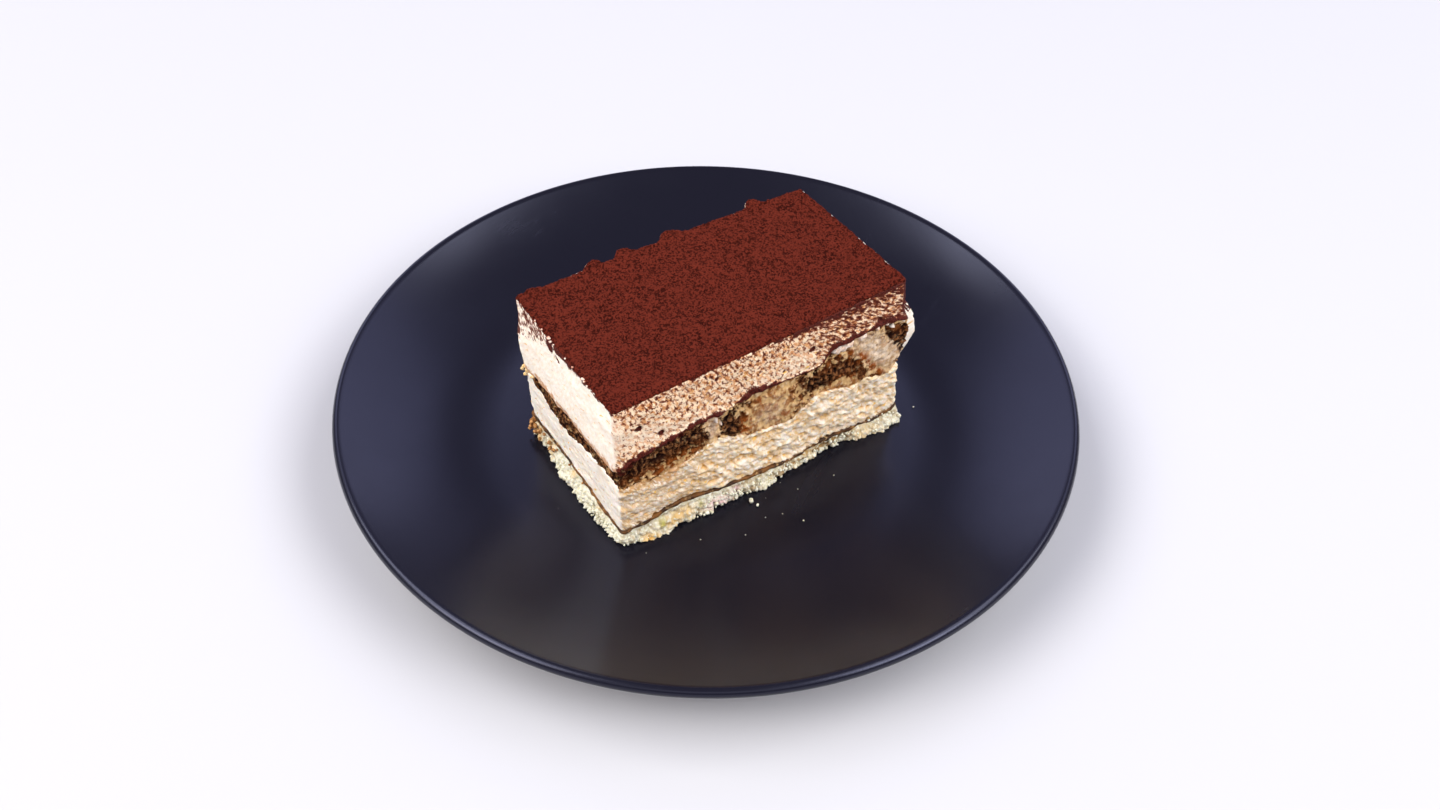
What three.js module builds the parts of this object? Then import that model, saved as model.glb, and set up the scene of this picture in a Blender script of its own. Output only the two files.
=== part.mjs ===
// A cut slice of tiramisu on its coupe plate. Millimetres, +Z up.
// The origin is the middle of the plate's underside, on the surface it stands on.
// The slice is worked out in its own frame: x runs along its long side from the front
// corner, y along its short side, and heights are counted from the plate's well.

import * as THREE from 'three';

const PLATE = {
  radius: 125,
  rimHeight: 24,
  wellHeight: 8,
  wellRadius: 70,
  wall: 5,
  lipRadius: 1.9,
  footRadius: 71,
  footWidth: 6,
  footHeight: 3,
  slopeSteps: 6,
  lipSteps: 3,
  segments: 72,
};

const SLICE = {
  corner: [-24.7, -60.2],
  yaw: THREE.MathUtils.degToRad(34.3),
  length: 108.6,
  width: 60.1,
  height: 60,
  rise: 1.7,
  cornerRadius: 2.4,
  // how far each corner has drifted out of plumb at the top: front, right, back, left
  drift: [[-2.0, 0.2], [-1.7, 1.7], [-2.2, -0.4], [-1.9, 1.4]],
};

const GAP = 0.4;
const COCOA_THICKNESS = 1.1;
const AROUND = 160;
const CRUMB_AROUND = 200;
// Steps around the slice crowd at its front right corner, within this share of the way round.
const CROWDING = { centre: 0.327, reach: 0.02, strength: 0.6 };

// Rings that close a layer below and above: how far inside the cut, how many steps of the
// side each step of the ring spans, whether it hangs as low as the layer's edge, how far it
// is lifted off the layer below, and how much of the side's lengthening it takes. The end
// roll turns up at the hanging ring.
const PLAIN_CAP = [{ inset: 9, span: 4 }];
const POWDER_CAP = [{ inset: 4, span: 2 }, { inset: 13, span: 4 }, { inset: 22, span: 8 }];
const HEMMED_CAP = [
  { inset: 2.6, span: 1, hangs: true, lift: 0.6 },
  { inset: 3.2, span: 1, lift: 0.5 },
  { inset: 9, span: 4 },
];
const RECESSED_CAP = [
  { inset: 2.6, span: 1, lengthened: 0.8 },
  { inset: 3.2, span: 1, lengthened: 0.75 },
  { inset: 9, span: 4 },
];

// Heights of the lines between the layers on the four faces, as [share of the face, height].
const SOAK_LINE = {
  front: [
    [0, 6.1], [0.1, 7.6], [0.17, 9.1], [0.23, 9], [0.3, 7.8], [0.4, 6.8], [0.5, 5.6], [0.59, 4.8],
    [0.7, 5.9], [0.8, 5.5], [0.92, 4.9], [1, 6.6],
  ],
  left: [[0, 6.1], [0.17, 6.4], [0.33, 7.5], [0.5, 8.5], [1, 8.8]],
  back: [[0, 8.8], [0.3, 6.9], [0.6, 5.6], [1, 6.6]],
  right: [[0, 6.6], [0.5, 6.2], [1, 6.6]],
};
const CREAM_LINE = {
  front: [
    [0, 26.3], [0.045, 24.7], [0.14, 24.1], [0.23, 25.8], [0.32, 28.6], [0.37, 27.8], [0.42, 25.6],
    [0.5, 23], [0.59, 22.3], [0.64, 24.6], [0.7, 27.2], [0.75, 26.6], [0.81, 24.4], [0.87, 25],
    [0.94, 22.8], [1, 24.6],
  ],
  left: [
    [0, 26.3], [0.2, 26], [0.36, 24.4], [0.58, 22.8], [0.7, 23.8], [0.78, 24.2], [0.86, 26.6],
    [0.93, 28.5], [1, 28.8],
  ],
  back: [[0, 28.8], [0.2, 24.6], [0.4, 27.6], [0.62, 23.6], [0.8, 27.2], [1, 25]],
  right: [[0, 24.6], [0.5, 24.2], [1, 25]],
};
const SPONGE_LINE = {
  front: [
    [0, 34.2], [0.06, 36.4], [0.14, 37.8], [0.25, 40.2], [0.34, 39.8], [0.45, 41.3], [0.55, 41.4],
    [0.68, 40.9], [0.735, 44.8], [0.8, 45.8], [0.93, 46.2], [1, 44],
  ],
  left: [[0, 34.2], [0.05, 31.8], [0.2, 30.7], [0.42, 29.9], [0.8, 30.3], [0.93, 30.2], [1, 31]],
  back: [[0, 31], [0.15, 36], [0.35, 41], [0.55, 38.6], [0.75, 43.6], [1, 42]],
  right: [[0, 44], [0.5, 44.6], [1, 42]],
};

// How far the foot of the bottom sponge spreads beyond the cut on each face.
const FOOT_SPREAD = {
  front: [
    [0, 0.4], [0.1, 2], [0.2, 1.5], [0.28, 2.4], [0.32, 0.9], [0.36, 1.9], [0.41, 1], [0.48, 2.4],
    [0.56, 1.2], [0.61, 0.4], [0.64, 1.2], [0.69, -0.4], [0.75, 0.4], [0.79, -0.2], [0.85, 1.9],
    [0.92, 2.8], [1, 2.6],
  ],
  left: [[0, 0.3], [0.13, 1.8], [0.3, 2.8], [0.9, 3.0], [1, 2.4]],
  back: [[0, 2.4], [0.4, 2.9], [0.7, 2.2], [1, 2.7]],
  right: [[0, 1.2], [0.5, 2.2], [1, 2.7]],
};

// Lumps of dusted cream that stand out of the back edge of the top.
const EDGE_LUMPS = [
  { along: 6.2, out: 0.9, wide: 2.6 },
  { along: 28.8, out: 2.5, wide: 2.8 },
  { along: 39.3, out: 2.6, wide: 3.2 },
  { along: 56.4, out: 2.8, wide: 4 },
  { along: 89.3, out: 2.9, wide: 2.6 },
];

// The roll of cream that wraps the right end of the middle sponge, which is recessed for it.
// It fades out over a longer run above its fullest height than below.
const END_ROLL = {
  out: 5.4,
  height: 37,
  spread: 8.5,
  spreadAbove: 11,
  above: 1,
  recess: 4,
  start: 0.5,
  run: 1.8,
};

const COLOURS = {
  plate: { color: 0x26262d, roughness: 0.34, metalness: 0 },
  bottomSponge: { color: 0xe9dfb4, roughness: 0.9, metalness: 0 },
  cream: { color: 0xf3e4c8, roughness: 0.62, metalness: 0 },
  soakedSponge: { color: 0x77522d, roughness: 0.8, metalness: 0 },
  streakedCream: { color: 0xe2bfa0, roughness: 0.66, metalness: 0 },
  cocoa: { color: 0x5a2119, roughness: 1, metalness: 0 },
};

const mix = THREE.MathUtils.lerp;
const clamp = THREE.MathUtils.clamp;
const smooth = (t) => t * t * (3 - 2 * t);

// A smooth curve through points [share, value], flat beyond its ends.
function curveThrough(points) {
  const slope = (i) => {
    const before = points[Math.max(i - 1, 0)];
    const after = points[Math.min(i + 1, points.length - 1)];
    return (after[1] - before[1]) / (after[0] - before[0]);
  };
  return (share) => {
    const x = clamp(share, 0, 1);
    let i = 0;
    while (i < points.length - 2 && x > points[i + 1][0]) i += 1;
    const [x0, y0] = points[i];
    const [x1, y1] = points[i + 1];
    const step = x1 - x0;
    const t = (x - x0) / step;
    const t2 = t * t;
    const t3 = t2 * t;
    return y0 * (2 * t3 - 3 * t2 + 1) + y1 * (3 * t2 - 2 * t3)
      + slope(i) * step * (t3 - 2 * t2 + t) + slope(i + 1) * step * (t3 - t2);
  };
}

// A smooth sheet over the slice that meets the four lines on its faces.
function sheetBetween(lines) {
  const [front, left, back, right] = ['front', 'left', 'back', 'right'].map((face) => curveThrough(lines[face]));
  return (p, q) => {
    const across = mix(front(p), back(p), q);
    const along = mix(left(q), right(q), p);
    const corners = mix(mix(front(0), front(1), p), mix(back(0), back(1), p), q);
    return across + along - corners;
  };
}

const soakLine = sheetBetween(SOAK_LINE);
const creamLine = sheetBetween(CREAM_LINE);
const spongeLine = sheetBetween(SPONGE_LINE);
const topLine = (p, q) => SLICE.height + SLICE.rise * p + 0.3 * Math.sin(7 * p + 1) * Math.cos(4 * q);

// A repeatable value from 0 to 1 for a cell of a grid.
function cellValue(i, j, seed) {
  const wave = Math.sin(i * 12.9898 + j * 78.233 + seed * 37.719) * 43758.5453;
  return wave - Math.floor(wave);
}

// Smooth unevenness from -1 to 1: cells around the slice and up its side, closed on itself.
function unevenness(share, height, cells, cellHeight, seed) {
  const x = share * cells;
  const y = height / cellHeight;
  const i = Math.floor(x);
  const j = Math.floor(y);
  const tx = smooth(x - i);
  const ty = smooth(y - j);
  const at = (di, dj) => cellValue((i + di) % cells, j + dj, seed);
  return 2 * mix(mix(at(0, 0), at(1, 0), tx), mix(at(0, 1), at(1, 1), tx), ty) - 1;
}

// The way round for an even count, with the steps crowded at one corner.
function crowded(share) {
  const { centre, reach, strength } = CROWDING;
  const pull = (t) => t - strength * reach * Math.tanh((t - centre) / reach);
  return (pull(share) - pull(0)) / (pull(1) - pull(0));
}

// A step around the outline of the cut, a rectangle with rounded corners: its place as
// shares p and q of the length and width, and the way out of the slice there.
function stepAround(share) {
  const { length, width, cornerRadius: r } = SLICE;
  const runs = [length - 2 * r, width - 2 * r];
  const bend = (Math.PI / 2) * r;
  const centres = [[r, r], [length - r, r], [length - r, width - r], [r, width - r]];
  let left = crowded(share) * (2 * (runs[0] + runs[1]) + 4 * bend);
  for (let side = 0; side < 4; side += 1) {
    const turn = ((side - 1) * Math.PI) / 2;
    const run = Math.min(left, runs[side % 2]);
    left -= run;
    const angle = turn + Math.min(left, bend) / r;
    const out = [Math.cos(angle), Math.sin(angle)];
    if (left < bend || side === 3) {
      const x = centres[side][0] - Math.sin(turn) * run + out[0] * r;
      const y = centres[side][1] + Math.cos(turn) * run + out[1] * r;
      return { p: x / length, q: y / width, out };
    }
    left -= bend;
  }
  return null;
}

// The same step moved inside the cut.
function stepInside(share, inset) {
  const { p, q, out } = stepAround(share);
  const shrink = (value, size) => 0.5 + (value - 0.5) * (1 - (2 * inset) / size);
  return { p: shrink(p, SLICE.length), q: shrink(q, SLICE.width), out };
}

// The point at shares p and q and a height, with the drift of the corners.
function place(p, q, height, out = [0, 0], push = 0) {
  const lean = height / SLICE.height;
  const drifted = (k) => {
    const [front, right, back, left] = SLICE.drift.map((corner) => corner[k]);
    return mix(mix(front, right, p), mix(left, back, p), q) * lean;
  };
  return [
    p * SLICE.length + drifted(0) + out[0] * push,
    q * SLICE.width + drifted(1) + out[1] * push,
    height,
  ];
}

// How fully a step lies on the right end, rising over a short run from either long face.
function onRightEnd({ p, q }, start, run) {
  if (p < 0.5) return 0;
  const fromCut = Math.min(q, 1 - q) * SLICE.width;
  return smooth(clamp((fromCut - start) / run, 0, 1));
}

// How much a face looks each way, from the way out of the slice.
function spreadOn(lines, p, q, out) {
  const share = { front: p, back: p, left: q, right: q };
  const facing = { front: -out[1], back: out[1], left: -out[0], right: out[0] };
  return Object.keys(lines).reduce(
    (sum, face) => sum + Math.max(facing[face], 0) * curveThrough(lines[face])(share[face]),
    0,
  );
}

// The long face bellies out a little near its foot, left of its middle.
function belly(p, height, out) {
  const near = Math.exp(-(((p - 0.37) / 0.2) ** 2));
  return Math.max(-out[1], 0) * 1.4 * near * clamp(1 - height / 34, 0, 1);
}

function bodyFrom(points, faces) {
  const geometry = new THREE.BufferGeometry();
  geometry.setAttribute('position', new THREE.Float32BufferAttribute(points.flat(), 3));
  geometry.setIndex(faces.flat());
  return geometry;
}

// A layer of the slice: rings of points up its side from the lower sheet to the upper one,
// closed below and above by coarser rings inside the cut and a fan to the middle. relief is
// how far the side stands out of the cut, lengthen how far it is drawn out along x, and
// hang how far its lower edge hangs below the lower sheet.
function layer({ around = AROUND, rows, lower, upper, relief, ...extras }) {
  const { floor = PLAIN_CAP, roof = PLAIN_CAP, hang = () => 0 } = extras;
  const { grain = () => 0, lengthen = () => 0 } = extras;
  const points = [];
  const faces = [];
  const ringOf = (count, make) => {
    const start = points.length;
    for (let i = 0; i < count; i += 1) points.push(make(i / count));
    return { start, count };
  };
  const sideRing = (t) => ringOf(around, (share) => {
    const step = stepAround(share);
    const { p, q, out } = step;
    const height = mix(lower(p, q) - hang({ p, q }), upper(p, q), t);
    const spot = { share, height, t, ...step };
    const [x, y, z] = place(p, q, height, out, relief(spot));
    return [x + lengthen(spot), y, z];
  });
  // Joins a ring to one inside it that has as many steps or a whole fraction of them.
  const join = (outer, inner, upwards) => {
    const nearest = (i) => inner.start + (Math.round((i * inner.count) / outer.count) % inner.count);
    for (let i = 0; i < outer.count; i += 1) {
      const here = outer.start + i;
      const next = outer.start + ((i + 1) % outer.count);
      const [a, b] = [nearest(i), nearest(i + 1)];
      faces.push(upwards ? [here, next, a] : [next, here, a]);
      if (a !== b) faces.push(upwards ? [a, next, b] : [next, a, b]);
    }
  };
  const close = (edge, rings, sheet, upwards) => {
    let outer = edge;
    rings.forEach(({ inset, span, hangs = false, lift = 0, lengthened = 0 }) => {
      const inner = ringOf(around / span, (share) => {
        const { p, q } = stepInside(share, inset);
        const rim = stepAround(share);
        const height = sheet(p, q) + grain(share, inset) + lift - (hangs ? hang(rim) : 0);
        const [x, y, z] = place(p, q, height);
        return [x + lengthened * lengthen({ share, height, ...rim }), y, z];
      });
      join(outer, inner, upwards);
      outer = inner;
    });
    const middle = points.length;
    points.push(place(0.5, 0.5, sheet(0.5, 0.5)));
    join(outer, { start: middle, count: 1 }, upwards);
  };

  let edge = sideRing(0);
  close(edge, floor, lower, false);
  for (let row = 1; row <= rows; row += 1) {
    const above = sideRing(row / rows);
    join(edge, above, true);
    edge = above;
  }
  close(edge, roof, upper, true);
  return bodyFrom(points, faces);
}

// The coupe plate: a flat well, a slope that steepens as a parabola, a rounded lip and
// a foot ring, all turned about the plate's axis.
function plateGeometry() {
  const { radius, rimHeight, wellHeight, wellRadius, wall, lipRadius } = PLATE;
  const { footRadius, footWidth, footHeight, slopeSteps, lipSteps, segments } = PLATE;
  const lipCentre = [radius - lipRadius, rimHeight - lipRadius];
  const slope = (r) => {
    const share = clamp((r - wellRadius) / (lipCentre[0] - wellRadius), 0, 1);
    return wellHeight + (rimHeight - wellHeight) * share ** 2;
  };
  const underside = (r) => {
    const share = clamp((r - wellRadius) / (lipCentre[0] - wellRadius), 0, 1);
    return slope(r) - mix(wall, 2 * lipRadius, share);
  };
  const profile = [[0, footHeight]];
  profile.push([footRadius - footWidth - 2, footHeight]);
  profile.push([footRadius - footWidth, 0.6]);
  profile.push([footRadius - footWidth + 0.8, 0]);
  profile.push([footRadius - 0.8, 0]);
  profile.push([footRadius, 0.6]);
  profile.push([footRadius + 1.6, underside(footRadius + 1.6)]);
  for (let i = 1; i < slopeSteps; i += 1) {
    const r = mix(footRadius + 1.6, lipCentre[0], i / slopeSteps);
    profile.push([r, underside(r)]);
  }
  for (let i = 0; i <= lipSteps; i += 1) {
    const angle = THREE.MathUtils.degToRad(mix(-60, 90, i / lipSteps));
    profile.push([lipCentre[0] + lipRadius * Math.cos(angle), lipCentre[1] + lipRadius * Math.sin(angle)]);
  }
  for (let i = slopeSteps - 1; i >= 0; i -= 1) {
    const r = mix(wellRadius, lipCentre[0], i / slopeSteps);
    profile.push([r, slope(r)]);
  }
  profile.push([0, wellHeight]);
  const lathe = new THREE.LatheGeometry(profile.map(([r, z]) => new THREE.Vector2(r, z)), segments);
  lathe.rotateX(Math.PI / 2);
  return lathe;
}

// The bottom sponge: torn crumb that spreads towards the plate.
function bottomSpongeGeometry() {
  return layer({
    around: CRUMB_AROUND,
    rows: 3,
    lower: () => GAP,
    upper: soakLine,
    relief: ({ share, p, q, out, height, t }) => {
      const spread = spreadOn(FOOT_SPREAD, p, q, out) * (1 - t);
      const crumb = 0.9 * unevenness(share, height, 76, 3, 1) + 0.5 * unevenness(share, height, 130, 2, 2);
      return belly(p, height, out) + spread + crumb * (1 - 0.6 * t);
    },
  });
}

// The lower cream, dragged into ridges by the knife.
function lowerCreamGeometry() {
  return layer({
    rows: 3,
    lower: (p, q) => soakLine(p, q) + GAP,
    upper: creamLine,
    relief: ({ share, p, height, out }) => {
      const ridges = 0.45 * unevenness(share, height, 34, 2.6, 3) + 0.3 * unevenness(share, height, 80, 4, 4);
      return belly(p, height, out) + ridges * mix(0.5, 1, Math.max(-out[1], 0));
    },
  });
}

// The middle sponge: coffee-soaked sponge fingers, rough where they are cut.
function middleSpongeGeometry() {
  return layer({
    rows: 4,
    lower: (p, q) => creamLine(p, q) + GAP,
    upper: spongeLine,
    roof: RECESSED_CAP,
    relief: ({ share, p, height, out }) => {
      const crumb = 0.55 * unevenness(share, height, 64, 5, 5) + 0.3 * unevenness(share, height, 120, 3, 6);
      return belly(p, height, out) + crumb - 0.25;
    },
    lengthen: (step) => -END_ROLL.recess * onRightEnd(step, 0, END_ROLL.start + END_ROLL.run / 2),
  });
}

// How far the dusted lumps stand out of the back edge.
function edgeLumps(p, out) {
  const back = Math.max(out[1], 0);
  const lump = ({ along, out: reach, wide }) => reach * Math.exp(-(((p * SLICE.length - along) / wide) ** 2));
  return back * EDGE_LUMPS.reduce((sum, each) => sum + lump(each), 0);
}

// How far the roll of cream swells out of the right end.
function endRoll(step) {
  const { out, height, spread, spreadAbove, start, run } = END_ROLL;
  const along = 0.86 + 0.14 * Math.cos(8 * step.q) + 0.07 * Math.sin(19 * step.q);
  const rise = step.height - height;
  const profile = Math.exp(-((rise / (rise > 0 ? spreadAbove : spread)) ** 2));
  return out * along * profile * onRightEnd(step, start, run);
}

// The upper cream, smooth, with its back edge lumpy near the top. At the right end it rolls
// down over the end of the middle sponge.
function upperCreamGeometry() {
  const { above, start, run } = END_ROLL;
  const lower = (p, q) => spongeLine(p, q) + GAP;
  return layer({
    rows: 6,
    lower,
    upper: (p, q) => topLine(p, q) - COCOA_THICKNESS,
    floor: HEMMED_CAP,
    hang: ({ p, q }) => {
      const edge = creamLine(p, q) + above + Math.sin(13 * q);
      return (lower(p, q) - edge) * onRightEnd({ p, q }, start, run);
    },
    relief: ({ share, p, out, height }) => {
      const nearTop = clamp((height - SLICE.height + 9) / 7, 0, 1);
      return 0.3 * unevenness(share, height, 40, 5, 7) + edgeLumps(p, out) * smooth(nearTop);
    },
    lengthen: endRoll,
  });
}

// The cocoa: a powdery sheet over the whole top, following its edge.
function cocoaGeometry() {
  return layer({
    rows: 1,
    roof: POWDER_CAP,
    grain: (share, inset) => 0.15 * unevenness(share, inset, 20, 9, 9),
    lower: (p, q) => topLine(p, q) - COCOA_THICKNESS + GAP,
    upper: topLine,
    relief: ({ share, p, out, height, t }) => {
      const edge = 0.25 * unevenness(share, height, 90, 5, 8);
      return edge + edgeLumps(p, out) - 0.35 * t;
    },
  });
}

function named(name, geometry, look) {
  geometry.computeVertexNormals();
  const mesh = new THREE.Mesh(geometry, new THREE.MeshStandardMaterial(look));
  mesh.name = name;
  return mesh;
}

const slice = new THREE.Group();
slice.position.set(...SLICE.corner, PLATE.wellHeight);
slice.rotation.z = SLICE.yaw;
slice.add(named('sponge_base', bottomSpongeGeometry(), COLOURS.bottomSponge));
slice.add(named('lower_cream', lowerCreamGeometry(), COLOURS.cream));
slice.add(named('middle_sponge', middleSpongeGeometry(), COLOURS.soakedSponge));
slice.add(named('upper_cream', upperCreamGeometry(), COLOURS.streakedCream));
slice.add(named('cocoa_top', cocoaGeometry(), COLOURS.cocoa));

const dessert = new THREE.Group();
dessert.add(named('plate', plateGeometry(), COLOURS.plate));
dessert.add(slice);

export default dessert;
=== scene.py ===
"""Looks of a cut tiramisu slice on its coupe plate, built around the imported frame.

The slice is worked out in millimetres in its own frame: x runs along its long side from the
front corner, y along its short side, and heights are counted from the plate's well. Its
layers follow the frame's solids, with the same dividing lines and relief, and add what is
finer: crumb, knife drag, powder, soaking and stains.
"""

import itertools
import math
from types import SimpleNamespace

import bpy
import numpy as np
from bpy.props import FloatProperty, FloatVectorProperty, IntProperty, PointerProperty
from mathutils import Matrix, Vector


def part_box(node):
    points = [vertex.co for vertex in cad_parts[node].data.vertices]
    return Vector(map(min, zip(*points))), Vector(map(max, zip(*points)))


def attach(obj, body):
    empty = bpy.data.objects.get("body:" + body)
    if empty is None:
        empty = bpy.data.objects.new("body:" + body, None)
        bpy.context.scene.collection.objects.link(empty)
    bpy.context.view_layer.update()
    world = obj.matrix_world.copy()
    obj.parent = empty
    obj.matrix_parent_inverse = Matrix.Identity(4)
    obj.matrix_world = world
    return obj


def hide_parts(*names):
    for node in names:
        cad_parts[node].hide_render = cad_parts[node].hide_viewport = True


bl_info = {
    "name": "Tiramisu Slice",
    "version": (1, 0, 0),
    "blender": (4, 5, 0),
    "location": "3D View > Sidebar > Tiramisu",
    "description": "Builds a tiramisu slice on a coupe plate around its packed frame",
    "category": "Add Mesh",
}

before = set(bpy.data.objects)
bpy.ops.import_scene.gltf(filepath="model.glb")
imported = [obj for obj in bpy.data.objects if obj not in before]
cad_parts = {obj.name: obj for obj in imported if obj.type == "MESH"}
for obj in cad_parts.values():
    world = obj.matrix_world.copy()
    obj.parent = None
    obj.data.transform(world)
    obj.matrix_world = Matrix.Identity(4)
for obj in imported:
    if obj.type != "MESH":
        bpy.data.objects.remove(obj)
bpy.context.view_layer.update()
PLATE_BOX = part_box("plate")

MM = 0.001


def linear(red, green, blue):
    """The linear colour of a display colour given from 0 to 255."""
    shares = np.array([red, green, blue]) / 255
    low = shares / 12.92
    high = ((shares + 0.055) / 1.055) ** 2.4
    return tuple(np.where(shares <= 0.04045, low, high))


# ---------------- sizes, in millimetres

PLATE = SimpleNamespace(
    rim_height=24.0, well_height=8.0, well_radius=70.0, wall=5.0, lip_radius=1.9,
    foot_radius=71.0, foot_width=6.0, foot_height=3.0, foot_edge=0.8, flare=1.6,
)
# Steps of the plate's section, part by part.
STEPS = SimpleNamespace(floor=8, edge=6, under=26, lip=20, slope=40, well=24)

SLICE = SimpleNamespace(
    corner=(-24.7, -60.2), yaw=math.radians(34.3), length=108.6, width=60.1, height=60.0,
    rise=1.7, corner_radius=1.5,
    # how far each corner has drifted out of plumb at the top: front, right, back, left
    drift=np.array([(-2.0, 0.2), (-1.7, 1.7), (-2.2, -0.4), (-1.9, 1.4)]),
)
# The solids' steps crowd at the front right corner: share of the way round, reach, strength.
CROWDING = SimpleNamespace(centre=0.327, reach=0.02, strength=0.6)
COCOA_THICKNESS = 1.1
# Lumps on the back edge of the top: along, how far out, how wide before and after their peak.
EDGE_LUMPS = (
    (6.2, 0.9, 2.6, 2.6), (28.8, 2.5, 3.6, 2.0), (39.3, 2.6, 2.9, 3.6), (56.4, 2.8, 3.2, 4.8),
    (89.3, 2.9, 2.6, 2.4),
)
# The roll of cream at the right end: how far out at its middle height, how far it swells over
# and under that, how far above the cream line it ends, how far the sponge is recessed for it,
# and where it starts behind the long face, over what run.
END_ROLL = SimpleNamespace(
    out=5.022, height=37.0, over=12.0, under=9.775, above=1.0, recess=4.0, start=1.6, run=1.2)
# The end of a finger at the front right corner, in the same words, and how far it reaches back.
END_TIP = SimpleNamespace(out=3.4, height=38.0, over=8.5, under=8.5, reach=9.0)

# Heights of the lines between the layers on the four faces, as (share of the face, height).
SOAK_LINE = {
    "front": ((0, 6.1), (0.1, 7.6), (0.17, 9.1), (0.23, 9), (0.3, 7.8), (0.4, 6.8), (0.5, 5.6), (0.59, 4.8),
              (0.7, 5.9), (0.8, 5.5), (0.92, 4.9), (1, 6.6)),
    "left": ((0, 6.1), (0.17, 6.4), (0.33, 7.5), (0.5, 8.5), (1, 8.8)),
    "back": ((0, 8.8), (0.3, 6.9), (0.6, 5.6), (1, 6.6)),
    "right": ((0, 6.6), (0.5, 6.2), (1, 6.6)),
}
CREAM_LINE = {
    "front": ((0, 26.3), (0.045, 24.7), (0.14, 24.1), (0.23, 25.8), (0.32, 28.6), (0.37, 27.8), (0.42, 25.6),
              (0.5, 23), (0.59, 22.3), (0.64, 24.6), (0.7, 27.2), (0.75, 26.6), (0.81, 24.4), (0.87, 25),
              (0.94, 22.8), (1, 24.6)),
    "left": ((0, 26.3), (0.2, 26), (0.36, 24.4), (0.58, 22.8), (0.7, 23.8), (0.78, 24.2), (0.86, 26.6),
             (0.93, 28.5), (1, 28.8)),
    "back": ((0, 28.8), (0.2, 24.6), (0.4, 27.6), (0.62, 23.6), (0.8, 27.2), (1, 25)),
    "right": ((0, 24.6), (0.5, 24.2), (1, 25)),
}
SPONGE_LINE = {
    "front": ((0, 34.2), (0.06, 36.4), (0.14, 37.8), (0.25, 40.2), (0.34, 39.8), (0.45, 41.3), (0.55, 41.4),
              (0.68, 40.9), (0.735, 44.8), (0.8, 45.8), (0.93, 46.2), (1, 44)),
    "left": ((0, 34.2), (0.05, 31.8), (0.2, 30.7), (0.42, 29.9), (0.8, 30.3), (0.93, 30.2), (1, 31)),
    "back": ((0, 31), (0.15, 36), (0.35, 41), (0.55, 38.6), (0.75, 43.6), (1, 42)),
    "right": ((0, 44), (0.5, 44.6), (1, 42)),
}
FOOT_SPREAD = {
    "front": ((0, 0.4), (0.1, 2), (0.2, 1.5), (0.28, 2.4), (0.32, 0.9), (0.36, 1.9), (0.41, 1), (0.48, 2.4),
              (0.56, 1.2), (0.61, 0.4), (0.64, 1.2), (0.69, -0.4), (0.75, 0.4), (0.79, -0.2), (0.85, 1.9),
              (0.92, 2.8), (1, 2.6)),
    "left": ((0, 0.3), (0.13, 1.8), (0.3, 2.6), (0.5, 2.2), (0.7, 1.4), (0.9, 0.6), (1, 0.3)),
    "back": ((0, 0.3), (0.1, 1.6), (0.4, 2.9), (0.7, 2.2), (1, 2.7)),
    "right": ((0, 1.2), (0.5, 2.2), (1, 2.7)),
}

# Stains in the cut of the middle sponge on the long face: along, height, reaches, strength.
SOAKED = (
    (4, 31, 7, 5, 0.5), (12, 35, 8, 4.5, 0.8), (22, 36, 9, 5, 0.85), (29, 35, 4, 6, 0.5),
    (41.5, 32.5, 4.5, 4.5, 0.75), (70, 35, 6, 5, 0.45), (76, 34, 5, 4.5, 0.55), (83, 34, 5, 3.5, 0.8),
    (88.5, 33, 3.6, 5, 1.0), (109.5, 35, 3, 3.5, 1.0), (112.5, 39.5, 2.4, 2.4, 0.9),
    (110.3, 42, 1.6, 2.2, 0.6), (107.8, 36, 2.6, 6, 0.9),
)
UNSOAKED = (
    (35, 33, 2.6, 6, 0.8), (33, 37.5, 3, 2.4, 0.6), (56, 31, 8.5, 8, 0.95), (62, 38, 5, 3.5, 0.5),
    (81, 27, 7, 2.8, 0.6), (99.5, 36, 5.5, 9, 1.0),
)
RUSTY = (
    (16, 27, 10, 2.4, 0.8), (24, 29.5, 6, 3, 0.7), (6, 27.5, 4, 2, 0.5), (46.5, 30.5, 2.2, 3.4, 0.95),
    (46, 26.8, 1.8, 1.4, 0.9), (57, 32, 1.8, 5, 0.55), (52, 38, 3, 2, 0.6), (60.5, 27.5, 3.5, 2, 0.6),
    (66, 34, 3, 3, 0.4), (93.8, 34, 2.2, 9, 1.0), (96.5, 26.5, 4, 1.8, 0.9), (89, 40.5, 3.2, 2.6, 0.8),
    (103.4, 36, 1, 1, 0.6), (109.6, 42, 2, 2, 0.5), (84, 30, 5, 2.4, 0.7), (91, 37, 2.6, 4, 0.6),
    (79, 39, 4, 2.6, 0.5), (53, 35, 1.6, 3, 0.5), (69, 29, 4, 2, 0.4),
)
MILKY = ((100, 36, 7, 10, 1.0), (34, 35, 3, 5, 0.6), (56, 30, 5, 5, 0.4))
# Curls and dabs of cream in the middle sponge on the long face, in the same order.
CREAM_CURLS = ((35.8, 37, 1.0, 1.6, 0.7), (37.6, 34.6, 0.8, 1.2, 0.6))
# Right of a start the stains lean back with height, more fully over a run, about a height.
STAIN_LEAN = SimpleNamespace(start=78.0, run=8.0, slope=0.7, height=34.0)
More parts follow.
